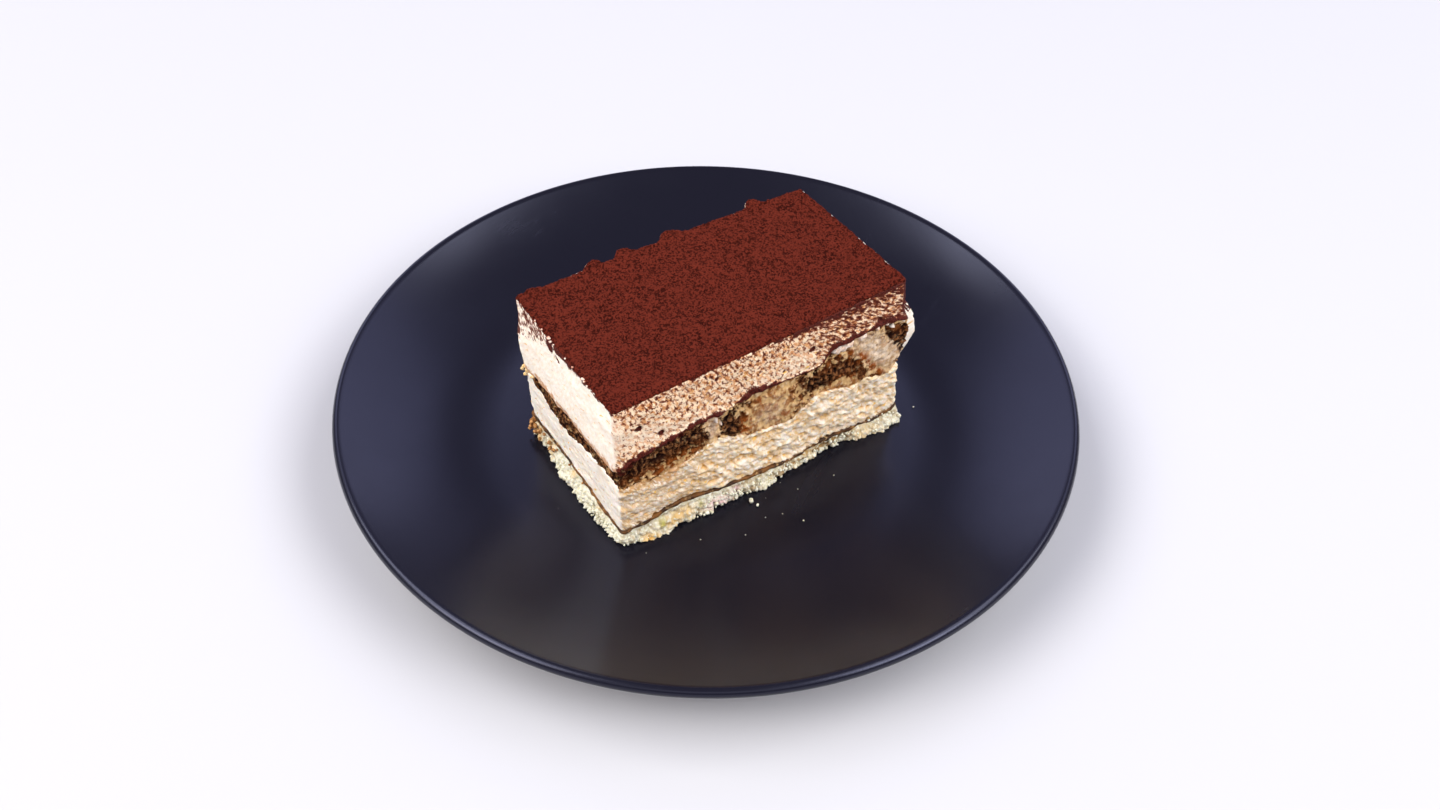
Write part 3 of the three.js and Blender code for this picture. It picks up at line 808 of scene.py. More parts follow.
def skin_finish(settings):
    """Moist baked skin, dark brown with lighter worn spots."""
    f = Finish("soaked_skin", 0.55, 0.2, on_cut=True)
    f.painted = f.mottled(f.noise(5.0, 2.0), 0.42, 0.66, linear(58, 34, 14), linear(122, 78, 34))
    f.lay(settings.pale, f.between(f.noise(1.6, 4.0, 0.65), 0.54, 0.7), 0.6)
    return f.finished(f.noise(0.6, 4.0, 0.65), 0.14)


def lower_cream_finish(settings):
    """Soft cream with painted shade in gold in its pits, and tinted with coffee along the sponge."""
    f = Finish("lower_cream", 0.6, 0.2, on_cut=True)
    drag = f.noise(2.0, 4.0, 0.6, turn=0.8, stretch=(0.65, 1.2))
    hatch = f.noise(1.1, 3.0, 0.6, 0.2, turn=0.8, stretch=(0.6, 1.25))
    fleck = f.noise(1.6, 2.0, 0.5, turn=-0.6, stretch=(0.6, 1.2))
    coffee = f.frayed("coffee", hatch, 0.35, 0.65, 0.35)
    skin = f.frayed("skin", hatch, 0.3, 0.7, 0.3)
    f.painted = settings.cream
    f.lay(f.mottled(drag, 0.4, 0.6, settings.custard, linear(226, 196, 148), 0.8), "rich")
    f.lay(linear(190, 142, 88), "hatch", f.between(hatch, 0.42, 0.6))
    # painted shade in the pits of the knife drag
    f.lay(settings.pit_shade_colour, "pit", 0.9)
    f.lay(linear(238, 186, 84), f.between(fleck, 0.64, 0.69), 0.8)
    f.lay(linear(196, 148, 96), f.between(coffee, 0.3, 0.9, 0.0, 0.85))
    f.lay(linear(146, 108, 72), f.between(skin, 0.3, 0.8, 0.0, 0.85))
    f.soften(0.25, 1.0)
    return f.finished(f.noise(0.8, 4.0, 0.6, turn=0.8, stretch=(0.6, 1.3)), 0.14)


def middle_sponge_finish(settings):
    """Sponge from pale to soaked, rusty where the soaking fades, with painted glints of highlight and
    painted shade in its pores.
    """
    f = Finish("soaked_sponge", 0.65, 0.05)
    fine = f.noise(1.4, 4.0, 0.65)
    patchy = f.noise(2.6, 4.0, 0.6)
    # painted highlight: lighter where the tops of clumps and crumbs meet
    glint = f.mask("glint")
    soaked = f.between(f.frayed("soaked", patchy, 0.32, 0.68, 0.45), 0.3, 0.7)
    dark = f.mottled(fine, 0.5, 0.6, settings.soaked, linear(132, 84, 48))
    dark = f.blend(f.math("MULTIPLY", glint, 0.7), dark, linear(150, 104, 66))
    f.painted = f.mottled(patchy, 0.44, 0.58, settings.pale, linear(158, 104, 54))
    f.lay(f.mottled(fine, 0.42, 0.62, linear(236, 214, 188), linear(206, 172, 132)), "milky")
    # painted highlight on the pale sponge, as on the soaked colour above
    f.lay(linear(238, 222, 190), glint, 0.6)
    f.lay(dark, soaked)
    f.lay(linear(204, 156, 98), "fade", f.between(fine, 0.42, 0.6, 0.0, 0.7))
    f.lay(settings.rust, "rust", f.between(patchy, 0.35, 0.6))
    # painted shade: near black in the pores and gaps between clumps and crumbs
    f.lay(linear(20, 6, 3), "hollow", f.between(soaked, 0.0, 1.0, 0.4, 0.95))
    f.lay(f.mottled(fine, 0.42, 0.6, linear(250, 236, 220), linear(222, 190, 164)), "cream")
    f.lay(linear(62, 20, 12), "cocoa")
    f.set("Roughness", f.between(patchy, 0.3, 0.7, 0.45, 0.7))
    return f.finished(f.noise(0.5, 4.0, 0.7), 0.2)


def upper_cream_finish(settings, cocoa):
    """Cream with cocoa dragged through it: short specks where it barely slants and longer
    strokes where it does, over a blush that is lighter in places."""
    f = Finish("upper_cream", 0.65, 0.14, on_cut=True)
    specks = f.noise(1.25, 3.0, 0.6, turn=1.0, stretch=(0.8, 1.15))
    strokes = f.noise(1.25, 3.0, 0.6, 0.2, turn=0.5, stretch=(0.5, 1.25))
    pale = f.noise(1.5, 3.0, 0.6, 0.2, turn=0.8, stretch=(0.7, 1.1))
    fine = f.noise(0.6, 4.0, 0.6)
    fibres = f.noise(1.5, 4.0, 0.65, turn=-0.8, stretch=(0.6, 1.3))
    fleck = f.noise(1.9, 2.0, 0.5, turn=-0.3, stretch=(0.5, 1.3))
    dust = f.mask("dust")
    over = f.blend(f.mask("slant"), specks, strokes)
    over = f.math("SUBTRACT", over, f.between(dust, 0.0, 1.0, 0.68, 0.42))
    over = f.math("SUBTRACT", over, f.between(dust, 0.05, 0.25, 0.07, 0.0))
    speck = f.between(over, -0.07, 0.02)
    smear = f.frayed("smear", pale, 0.35, 0.65, 0.3)
    caked = f.frayed("cocoa", fine, 0.3, 0.7, 0.25)
    f.painted = f.mottled(fibres, 0.42, 0.64, settings.cream, linear(246, 224, 192), 0.6)
    f.lay(f.mottled(pale, 0.42, 0.54, settings.blush, linear(253, 225, 188)), "blush")
    f.lay(linear(238, 184, 82), f.between(fleck, 0.66, 0.7), 0.85)
    f.lay(linear(200, 142, 94), f.between(smear, 0.2, 0.65, 0.0, 0.85))
    f.lay(linear(130, 58, 28), speck, 0.9)
    f.lay(linear(78, 27, 14), f.between(over, 0.03, 0.09))
    f.lay(f.mottled(fine, 0.36, 0.58, cocoa.pits, cocoa.powder), f.between(caked, 0.35, 0.65))
    f.soften(0.1, 0.35)
    return f.finished(f.math("SUBTRACT", fine, f.math("MULTIPLY", speck, 0.5)), 0.12)


def cocoa_finish(settings):
    """Matte powder: reddish brown clumps over gaps darkened with painted shade, each grain a little
    different.
    """
    f = Finish("cocoa_powder", 1.0, 0.03)
    clump = f.noise(2.2, 3.0, 0.55)
    grain = f.noise(0.65, 3.0, 0.65)
    # painted shade: darker where the powder lies low
    low = f.frayed("low", clump, 0.35, 0.65, -0.12)
    low = f.math("ADD", low, f.between(grain, 0.36, 0.64, 0.5, -0.5))
    f.painted = f.mottled(low, 0.25, 0.95, settings.powder, settings.pits)
    f.lay(linear(82, 30, 20), f.between(f.noise(7.0, 3.0), 0.4, 0.65, 0.0, 0.2))
    return f.finished(f.math("ADD", grain, clump), 0.3)


def floor_finish(settings):
    """A pale matte floor, barely mottled."""
    f = Finish("pale_floor", 0.9, 0.1)
    f.painted = f.blend(f.noise(400), settings.floor, shade(settings.floor, 0.985))
    return f.finished()


# ---------------- the plate

def slope(r, lip_r):
    """The plate's upper surface: flat in the well, then a parabola up to the lip."""
    share = np.clip((r - PLATE.well_radius) / (lip_r - PLATE.well_radius), 0, 1)
    return PLATE.well_height + (PLATE.rim_height - PLATE.well_height) * share ** 2


def arc(centre, radius, start, end, steps):
    """Points of a circle's arc between two angles in degrees."""
    angles = np.radians(np.linspace(start, end, steps))
    return np.stack([centre[0] + radius * np.cos(angles), centre[1] + radius * np.sin(angles)], axis=-1)


def plate_profile(radius):
    """The section of the plate from the middle of its underside to the middle of its well."""
    lip_r, lip_z = radius - PLATE.lip_radius, PLATE.rim_height - PLATE.lip_radius
    foot, edge = PLATE.foot_radius, PLATE.foot_edge
    inner = foot - PLATE.foot_width
    under_r = np.linspace(foot + PLATE.flare, lip_r, STEPS.under)[1:-1]
    share = (under_r - PLATE.well_radius) / (lip_r - PLATE.well_radius)
    wall = mix(PLATE.wall, 2 * PLATE.lip_radius, share)
    top_r = np.linspace(lip_r, PLATE.well_radius, STEPS.slope)[1:]
    well_r = np.linspace(PLATE.well_radius, 0, STEPS.well)[1:-1]
    root = (foot + PLATE.flare, slope(foot + PLATE.flare, lip_r) - PLATE.wall)
    floor_r = np.linspace(0, inner - 2, STEPS.floor)[1:]
    return np.concatenate([
        np.stack([floor_r, np.full(len(floor_r), PLATE.foot_height)], axis=-1),
        [(inner - 0.6, PLATE.foot_height - 0.5)],
        arc((inner + edge, edge), edge, 180, 270, STEPS.edge),
        arc((foot - edge, edge), edge, 270, 360, STEPS.edge),
        [(foot + 0.3, mix(edge, root[1], 0.6)), root],
        np.stack([under_r, slope(under_r, lip_r) - wall], axis=-1),
        arc((lip_r, lip_z), PLATE.lip_radius, -60, 90, STEPS.lip),
        np.stack([top_r, slope(top_r, lip_r)], axis=-1),
        np.stack([well_r, np.full(len(well_r), PLATE.well_height)], axis=-1),
    ])


def build_plate(settings):
    """The coupe plate: its section turned about the plate's axis."""
    profile = plate_profile(settings.radius / MM)
    angles = np.linspace(0, 2 * np.pi, settings.segments, endpoint=False)
    rings = np.stack([
        profile[:, :1] * np.cos(angles), profile[:, :1] * np.sin(angles), profile[:, 1:] + 0 * angles,
    ], axis=-1) * MM
    poles = np.array([(0, 0, PLATE.foot_height), (0, 0, PLATE.well_height)]) * MM
    piece = closed_rings("coupe_plate", rings, *poles)
    bare = (profile[:, 1] < PLATE.foot_edge) & (profile[:, 0] < PLATE.foot_radius + 0.1)
    give(piece, "bare", np.repeat(bare.astype(float), settings.segments))
    finish_piece(piece, glaze_finish(settings), "plate_glaze", "plate")


# ---------------- the layers

WAY = np.arange(AROUND) / AROUND
FLOOR_GAP = 0.06
# How far the lines under and over the middle sponge stray, and the seeds of their tears.
CREAM_TEAR = (0.5, 63)
SPONGE_TEAR = (0.7, 73)


def raised(sheet, by):
    """A sheet moved up by so many millimetres."""
    return lambda p, q: sheet(p, q) + by


def well_floor(p, q):
    return FLOOR_GAP + 0 * p


crumb_line = raised(soak_line, -0.5)
skin_edge = raised(soak_line, 0.15)
cream_edge = raised(cream_line, 0.2)
sponge_foot = raised(cream_line, 0.1)
sponge_top = raised(sponge_line, 0.1)
sponge_edge = raised(sponge_line, 0.25)
under_cocoa = raised(top_line, -COCOA_THICKNESS)
cream_top = raised(under_cocoa, 0.3)
cocoa_foot = raised(under_cocoa, 0.25)


def spread(g):
    """How far the bottom sponge's foot spreads on each face, from the way out."""
    faces = (("front", g.front, g.p), ("back", g.back, g.p), ("left", g.left, g.q), ("right", g.right, g.q))
    return sum(weight * curve_through(FOOT_SPREAD[face], share) for face, weight, share in faces)


def bottom_sponge_push(g):
    """The relief of the torn crumb: the solid's own unevenness and foot, then clumps and
    grains that are rounder and finer."""
    solid = 0.9 * g.solid(76, 3, 1) + 0.5 * g.solid(130, 2, 2)
    torn = g.uneven(100, 2.6, 29)
    clump = grains(g.way, g.height, 150, 2.1, 31)
    grain = grains(g.way, g.height, 330, 1.0, 33)
    fine = torn + 1.5 * (clump - 0.5) + 0.75 * (grain - 0.5)
    ledge = 1 - 0.9 * g.t ** 2
    push = belly(g) + spread(g) * (1 - g.t ** 1.6) + (solid + fine) * ledge - rounding(g.above, 0.8)
    return push, np.clip(0.75 * clump + 0.4 * grain + 0.25 * torn, 0, 1)


def build_bottom_sponge(settings):
    """The bottom sponge: torn dry crumb that spreads towards the plate."""
    g = side_of(WAY, 28, well_floor, crumb_line)
    push, proud = bottom_sponge_push(g)
    toasted = g.front * patches(TOASTED, g.x, g.height) + g.left * patches(TOASTED_SIDE, g.y, g.height)
    # painted shade over the whole long face, deeper towards its right end
    long_face_shade = (0.55 + 0.25 * ramp(g.x, 40, 30)) * (0.8 + g.uneven(40, 5, 53))
    masks = {
        # painted shade: strongest where the crumb lies low between its clumps and grains
        "hollow": fall(proud, 0.42, 0.4),
        "toasted": toasted + 0.4 * smooth(2 * unevenness(g.way, g.height, 22, 6, 51) - 0.9),
        "pink": g.front * patches(PINK, g.x, g.height),
        "greenish": g.front * patches(GREENISH, g.x, g.height),
        "brownish": g.front * (patches(BROWNISH, g.x, g.height) + long_face_shade),
    }
    piece = layer_piece("bottom_sponge", g, push, well_floor, crumb_line, masks=masks)
    finish_piece(piece, crumb_finish(settings), "base_crumb", "sponge_base")


def build_soaked_skin(settings):
    """The soaked skin of the bottom sponge: a thin dark sheet that shows as a line."""
    g = side_of(WAY, 7, raised(crumb_line, -0.6), skin_edge)
    wander = ragged(g.way, 0.45, 61) * (1 - g.t) * (0.8 + 1.4 * g.front * ramp(g.x, 70, 25))
    g.height = g.height + wander
    push = belly(g) + 0.35 * unevenness(g.way, g.height, 150, 1.5, 62) + 0.45
    push = push - rounding(g.above, 0.4) - rounding(g.below, 0.4)
    piece = layer_piece("soaked_skin", g, push, raised(crumb_line, -0.3), skin_edge)
    finish_piece(piece, skin_finish(settings), "soak_skin")


def build_lower_cream(settings):
    """The lower cream: ridges and pits dragged along the long face, smoother elsewhere."""
    g = side_of(WAY, 60, skin_edge, cream_edge)
    g.height = g.height + ragged(g.way, *CREAM_TEAR) * ramp(g.t, 0.7, 0.3)
    solid = 0.45 * g.solid(34, 2.6, 3) + 0.3 * g.solid(80, 4, 4)
    scaly = ramp(g.x, 16, 16) * mix(1.0, 0.55, ramp(g.x, 74, 16))
    rough = settings.relief * mix(0.3, 1.0, np.maximum(g.long_cut * mix(0.45, 1, scaly), 0.6 * g.back))
    drag = g.way + 0.55 * g.height / perimeter()
    ridges = layered(drag, g.height, 110, 3.4, 64)
    gap, _, rise = nearest_seed(drag + 0.004 * ridges, g.height, 120, 2.4, 67)
    scales = 0.55 - gap - 0.55 * rise
    pits = dents(drag + 0.003 * ridges, g.height, 130, 1.8, 68, 0.34)
    nicks = dents(drag, g.height, 240, 1.1, 69, 0.35)
    push = belly(g) + solid * mix(0.5, 1, g.front) + corner_bulge(g)
    push = push + rough * (0.45 * scales + 0.75 * ridges - 0.8 * pits - 0.35 * nicks)
    push = push - rounding(g.above, 0.15) - rounding(g.below, 0.4)
    blotch = g.uneven(60, 3.2, 71)
    left_third = fall(g.x, 34, 12)
    soaked_depth = 2.2 + 3.0 * left_third + 1.6 * blotch
    near_sponge = smooth(1 - g.above / np.maximum(soaked_depth, 0.3)) * fall(g.x, 96, 8)
    skin_depth = 0.8 + 1.4 * left_third + 1.6 * ramp(g.x, 58, 20) + 0.6 * blotch
    near_skin = smooth(1 - g.below / skin_depth.clip(0.3))
    # painted shade: where the relief sinks into pits and nicks and between scales and ridges
    sunk = 0.9 * pits + 0.6 * nicks + 0.7 * smooth(0.1 - scales) + 0.7 * smooth(-1.5 * ridges)
    masks = {
        "pit": sunk * rough,
        "coffee": mix(0.4, 0.75, left_third) * g.long_cut * near_sponge * (0.9 + 0.6 * blotch),
        "skin": g.long_cut * near_skin * (0.75 + 0.5 * blotch),
        "hatch": g.long_cut * (0.42 * left_third + 0.08 + 0.25 * blotch),
        "rich": g.long_cut,
    }
    piece = layer_piece("cream_lower", g, push, skin_edge, cream_edge, masks=masks)
    finish_piece(piece, lower_cream_finish(settings), "lower_cream", "lower_cream")


def build_middle_sponge(settings):
    """The middle sponge: fingers soaked unevenly, open-pored where they are cut."""
    g = side_of(WAY, 56, sponge_foot, sponge_edge)
    g.height = g.height + ragged(g.way, *CREAM_TEAR) * fall(g.t, 0.3, 0.3)
    g.height = g.height + ragged(g.way, *SPONGE_TEAR) * ramp(g.t, 0.7, 0.3)
    solid = 0.55 * g.solid(64, 5, 5) + 0.3 * g.solid(120, 3, 6)
    streaks = 0.5 + 0.75 * g.uneven(16, 11, 81)
    blotch = g.uneven(90, 3.4, 82)
    lean = STAIN_LEAN.slope * ramp(g.x, STAIN_LEAN.start, STAIN_LEAN.run) * (g.height - STAIN_LEAN.height)
    along = g.x + lean
    cut = 0.42 + patches(SOAKED, along, g.height) - patches(UNSOAKED, along, g.height) + 0.22 * blotch
    soaked = mix(streaks, cut, g.long_cut)
    soaked = np.clip(mix(soaked, 0.92, g.short_cut), 0, 1)
    covered = g.short_cut * ramp(g.y, 53.5, 2)
    open_crumb = mix(0.5, 1, soaked) * mix(1, 0.5, g.short_cut) * (1 - 0.9 * covered)
    warp = g.way + 0.0024 * blotch
    clumps = grains(warp, g.height + blotch, 130, 2.5, 75)
    crumbs = grains(warp, g.height + blotch, 280, 1.2, 77)
    pores = dents(warp, g.height + blotch, 170, 2.0, 78, 0.4)
    push = belly(g) + solid - mix(0.45, 0.15, g.short_cut)
    push = push + open_crumb * (1.1 * (clumps - 0.45) + 0.6 * (crumbs - 0.45) - 0.7 * pores)
    push = push + 0.3 * g.uneven(160, 2, 79)
    bits = smooth((layered(g.way - 0.6 * g.height / perimeter(), g.height, 200, 4.2, 80) + 0.3) / 0.2)
    torn = 1.8 + 1.7 * unevenness(g.way, 0, 130, 1, 88) + 1.2 * unevenness(g.way, 0, 300, 1, 89)
    white = ramp(g.x, 78.5, 1.5) * fall(g.x, 108, 2) * fall(g.above, torn, 0.5) * bits
    gap = smooth(1.5 - np.abs(g.x - 89) / 1.2)
    thin = 0.8 * smooth(1.5 - np.abs(g.x - 99.5) / 1.6)
    white = white * (1 - gap) * (1 - thin)
    curl = ramp(patches(CREAM_CURLS, g.x, g.height), 0.35, 0.3)
    white = g.long_cut * np.maximum(white, curl)
    clots = cocoa_clots(g)
    push = mix(push, solid - 0.3, covered) + corner_bulge(g)
    push = push + 1.1 * white + 0.5 * clots - rounding(g.above, 0.4) - rounding(g.below, 0.15)
    fade = smooth(1 - g.below / (2.4 + 1.5 * blotch).clip(0.4)) * fall(g.x, 92, 6)
    masks = {
        "soaked": soaked,
        "rust": g.front * patches(RUSTY, along, g.height) + 0.35 * g.back * (1 - streaks),
        # painted shade: where the crumb lies low, in pores and between clumps
        "hollow": np.clip(1.1 - 1.2 * clumps - 0.8 * crumbs + 0.8 * pores, 0, 1) * open_crumb,
        # painted highlight on the tops of the grains
        "glint": 1.6 * clumps * crumbs - 0.4,
        "fade": g.long_cut * fade * mix(0.3, 1, fall(g.x, 34, 12)),
        "milky": g.front * patches(MILKY, along, g.height),
        "cream": np.maximum(1.3 * white, covered),
        "cocoa": clots,
    }
    under_roll = on_right_end(g.p, g.q, *roll_start())
    shift = end_tip(g) - END_ROLL.recess * under_roll
    piece = layer_piece("sponge_middle", g, push, sponge_foot, sponge_edge, shift, masks=masks)
    finish_piece(piece, middle_sponge_finish(settings), "soaked_sponge", "middle_sponge")


def edge_lumps(p, back):
    """How far the dusted lumps stand out of the back edge: a flat-topped bell for each, with
    its own width before and after its peak."""
    x = p * SLICE.length
    total = 0
    for along, reach, before, after in EDGE_LUMPS:
        width = np.where(x < along, before, after)
        total = total + reach * bell(x - along, width, 3.6)
    return back * total


def lump_rise(x, y):
    """How far the top rises over the lumps of the back edge."""
    return sum(0.32 * reach * np.exp(-((x - along) / 2.6) ** 2 - ((y - SLICE.width) / 2.8) ** 2)
               for along, reach, _, _ in EDGE_LUMPS)


def swelling(rise, above, below):
    """A bell over a height, drawn out above its middle and flat-topped below."""
    return np.where(rise > 0, bell(rise, above, 2.2), bell(rise, below, 3))


def roll_start():
    """Where the roll of cream starts to cover the right end, and over what run."""
    return END_ROLL.start - 0.5, 0.5 + END_ROLL.run / 2


def end_roll(g):
    """How far the roll of cream swells out of the right end: a bell over its height, longer
    above than below and flat-topped below, with lumps and folds."""
    along = 0.86 + 0.14 * np.cos(8 * g.q) + 0.07 * np.sin(19 * g.q) + 0.35 * bell(g.y - 3.5, 4)
    profile = swelling(g.height - END_ROLL.height, END_ROLL.over, END_ROLL.under)
    folds = 1 + 0.28 * g.uneven(60, 5, 113) + 0.12 * g.uneven(200, 1.6, 115)
    here = on_right_end(g.p, g.q, END_ROLL.start, END_ROLL.run)
    return END_ROLL.out * along * profile * folds * here


def end_tip(g):
    """How far the end of a sponge finger pushes the front right corner out, round its own
    middle height and as far back as the roll of cream."""
    profile = swelling(g.height - END_TIP.height, END_TIP.over, END_TIP.under)
    before_roll = 1 - ramp(g.y, *roll_start())
    near_end = ramp(g.x, SLICE.length - END_TIP.reach, END_TIP.reach)
    return END_TIP.out * profile * near_end * before_roll


def cream_holes(g):
    """Round holes sunk into the faces, each with its own depth, and where they are."""
    depth = 0 * g.height
    for face, along, height, radius, deep in HOLES:
        place_on = g.x if face == "front" else g.y
        gap = np.hypot(place_on - along, g.height - height) / radius
        depth = depth + getattr(g, face) * deep * smooth(1.3 - gap)
    return depth


def cocoa_clots(g):
    """Round clots of cocoa on the long face, 1 at their middles."""
    clots = [smooth(1.8 - np.hypot(g.x - along, g.height - height) / radius)
             for along, height, radius in CLOTS]
    return g.front * np.maximum.reduce(clots)


def corner_bulge(g):
    """The cut swells out near the back left corner, round its middle height."""
    from_corner = np.hypot(g.x, SLICE.width - g.y)
    return 1.3 * np.exp(-((g.height - 39) / 10) ** 2 - (from_corner / 8) ** 2)


def build_upper_cream(settings, cocoa):
    """The upper cream: clean on the short face, streaked with cocoa on the long one, and
    rolled down over the end of the middle sponge."""
    def hang(p, q):
        edge = cream_line(p, q) + END_ROLL.above + np.sin(13 * q)
        return (sponge_line(p, q) + 0.4 - edge) * on_right_end(p, q, END_ROLL.start, END_ROLL.run)

    g = side_of(WAY, 64, lambda p, q: sponge_top(p, q) - hang(p, q), cream_top)
    g.height = g.height + ragged(g.way, *SPONGE_TEAR) * fall(g.t, 0.3, 0.3) * (1 - g.right)
    near_top = smooth((g.height - SLICE.height + 9) / 7)
    solid = 0.3 * g.solid(40, 5, 7) + edge_lumps(g.p, g.back) * near_top
    slanted = g.way + 0.7 * g.height / perimeter()
    drag = layered(slanted, g.height, 260, 2.4, 83)
    fine = g.uneven(260, 1.3, 85)
    rough = np.maximum(g.front, 0.7 * g.back)
    push = solid + settings.relief * (mix(0.15, 0.2, rough) * fine + mix(0.14, 0.22, rough) * drag)
    holes = cream_holes(g)
    clots = cocoa_clots(g)
    line = 1.1 * curve_through(COCOA_LINE, g.p) * (1 + 0.9 * layered(g.way, 0, 110, 1, 91))
    bottom = g.long_cut * smooth(1.3 - g.below / np.maximum(line, 0.1))
    push = push - holes - rounding(g.below, 0.35) + corner_bulge(g) + 0.5 * clots + 0.45 * bottom
    push = push + 0.2 * np.maximum(g.left, g.right) * g.uneven(90, 2.2, 87) * smooth(1 - g.above / 14)

    # cocoa fallen down each face from the top, and where the knife dragged it along
    wander = 2.0 * g.uneven(150, 2.0, 93)
    back_corner = g.short_cut * ramp(g.y, 38, 4)
    over_side = g.height + 1.6 - curve_through(SIDE_DUST, g.q) + wander
    over_side = smooth(over_side / mix(2.4, 3.5, back_corner))
    over_edge = smooth((0.2 + 1.5 * g.front * ramp(g.x, 56, 10) + wander - g.above) / 0.8)
    dragged = g.long_cut * ramp(g.x, 58, 6) * ramp(g.height, 56, 3)
    clean = g.front * patches(CLEAN, g.x, g.height) + 0.35 * g.uneven(30, 6, 89)
    fallen = np.maximum(g.short_cut * over_side * (1 - back_corner), over_edge)
    fallen = fallen * (1 - 0.9 * g.short_cut * np.clip(patches(KNOCKED_OFF, g.y, g.height), 0, 1))
    roll_dust = g.right * ramp(g.height, 43, 3) * smooth((6 - g.y + 2 * wander) / 5)
    roll_dust = np.maximum(roll_dust, g.front * ramp(g.x, 106.5, 1.2) * ramp(g.height, 45, 3))
    dust = g.front * (0.45 + 0.2 * ramp(g.x, 62, 25) + 0.12 * smooth(1 - g.above / 6) - 0.3 * clean)
    streaks = 0.66 + 0.5 * layered(slanted, g.height, 90, 7, 97)
    dust = dust + 0.3 * dragged + streaks * back_corner * over_side
    dust = dust + 0.5 * g.back + 0.5 * g.right * over_edge
    masks = {
        "dust": dust,
        "slant": g.front * ramp(g.x, 66, 14),
        "blush": g.front * (1 - 0.5 * clean) + 0.6 * g.back + 0.1 * back_corner * over_side,
        # the holes are darkened with the caked cocoa's colours as well
        "cocoa": np.maximum.reduce([bottom, fallen, roll_dust, clots, smooth(holes * 1.6 - 0.3)]),
        "smear": g.left * smooth(1.2 - g.below / 3.6) * (0.75 + 0.6 * g.uneven(120, 1.5, 95)),
    }
    low = outline(WAY)[:2]
    rim_drop = hang(*low)
    hanging = inside(*low, 2.6)
    turned_up = inside(*low, 3.2)
    floor = np.stack([
        place(*hanging, sponge_top(*hanging) - rim_drop),
        place(*turned_up, sponge_top(*turned_up)),
        *cap_rings(WAY, sponge_top, (9.0, 18.0)),
    ])
    shift = end_roll(g) + end_tip(g)
    piece = layer_piece("cream_upper", g, push, sponge_top, cream_top, shift, floor, masks)
    finish_piece(piece, upper_cream_finish(settings, cocoa), "upper_cream", "upper_cream")


# ---------------- the cocoa

TOP_STEPS = (390, 214)
# The length of the slice on whose side the powder of the top is worked out.
PLAN_LENGTH = 400
# How far the middle of the cut has drifted out of plumb at the top.
TOP_DRIFT = (-1.9, 0.7)
# How low the powder counts as lying under the slice's rim, which darkens it there as painted shade.
RIM_LOW = 0.6


def powder_relief(x, y):
    """The dusted top in millimetres, and how low each place lies from 0 to 1, which the
    powder's colour darkens as painted shade: swells, clumps with finer grains over them and
    short cracks between clumps, worked out on the plan as if it were the side of a very long slice."""
    way = x / PLAN_LENGTH
    swell = layered(way, y, 60, 6.6, 101)
    clumps = nearest_seed(way + 0.002 * swell, y, 300, 1.3, 103)[0]
    fine = nearest_seed(way, y, 470, 0.85, 105)[0]
    rough = layered(way, y, 320, 1.25, 107, 2)
    broken = ramp(layered(way, y, 150, 2.6, 109), 0.25, 0.25)
    cracks = broken * ramp(clumps, 0.42, 0.2)
    relief = 0.1 * swell + 0.36 * (0.45 - clumps) + 0.34 * (0.45 - fine) + 0.34 * rough - 0.3 * cracks
    low = 0.5 + 0.4 * (clumps - 0.45) + 0.45 * (fine - 0.4) - 0.35 * rough + 0.35 * cracks
    return relief + lump_rise(x, y), np.clip(low, 0, 1)


def build_cocoa(settings):
    """The cocoa: a sheet of powder over the whole top, lumpy along its back edge. Its top is
    a grid stretched between the four runs of its rim, and its edge rounds over."""
    steps_x, steps_y = TOP_STEPS
    around = 2 * (steps_x + steps_y)
    quarter = math.pi / 4 * SLICE.corner_radius
    long_run, short_run = SLICE.length - 2 * SLICE.corner_radius, SLICE.width - 2 * SLICE.corner_radius
    spans = (long_run + 2 * quarter, short_run + 2 * quarter)
    arcs = np.concatenate([
        -quarter + sum(spans[k % 2] for k in range(side))
        + spans[side % 2] * np.arange(TOP_STEPS[side % 2]) / TOP_STEPS[side % 2]
        for side in range(4)])
    way = (arcs / perimeter()) % 1
    g = side_of(way, 7, cocoa_foot, top_line)
    edge = 0.25 * g.solid(90, 5, 8) + edge_lumps(g.p, g.back)
    clumps = nearest_seed(g.way, g.height, 330, 1, 111)[0]
    torn = 0.3 * g.uneven(190, 2, 109) + 0.25 * (0.5 - clumps)
    push = edge - 0.35 * g.t + torn - rounding(g.above, 0.7)
    relief, rim_low = powder_relief(g.x, g.y)
    g.height = g.height + relief * g.t
    side = place(g.p, g.q, g.height, g.out_x * push, g.out_y * push)
    bottom = cap_rings(way, cocoa_foot)
    rings = np.concatenate([bottom[::-1], side])
    first = (len(rings) - 1) * around
    rim = first + np.arange(around)
    index = np.zeros((steps_y + 1, steps_x + 1), int)
    index[0, :-1] = rim[:steps_x]
    index[:-1, -1] = rim[steps_x:steps_x + steps_y]
    index[-1, :0:-1] = rim[steps_x + steps_y:2 * steps_x + steps_y]
    index[:0:-1, 0] = rim[2 * steps_x + steps_y:]
    inner = len(rings) * around + 1 + np.arange((steps_x - 1) * (steps_y - 1))
    index[1:-1, 1:-1] = inner.reshape(steps_y - 1, steps_x - 1)
    top, low = cocoa_top_points(side[-1], index - first)
    points = np.concatenate([rings.reshape(-1, 3), [place(0.5, 0.5, cocoa_foot(0.5, 0.5))], top])
    grid_faces = np.stack([index[:-1, :-1], index[:-1, 1:], index[1:, 1:], index[1:, :-1]], axis=-1)
    piece = make_mesh(
        "cocoa_powder", points, np.concatenate([ring_faces(len(rings), around), grid_faces.reshape(-1, 4)]),
        pole_faces(0, around, len(rings) * around, False))
    edge_low = mix(RIM_LOW, rim_low, g.t)
    give(piece, "low", np.concatenate([
        np.full(len(bottom) * around, RIM_LOW), edge_low.ravel(), [RIM_LOW], low]))
    finish_piece(piece, cocoa_finish(settings), "cocoa_powder", "cocoa_top")


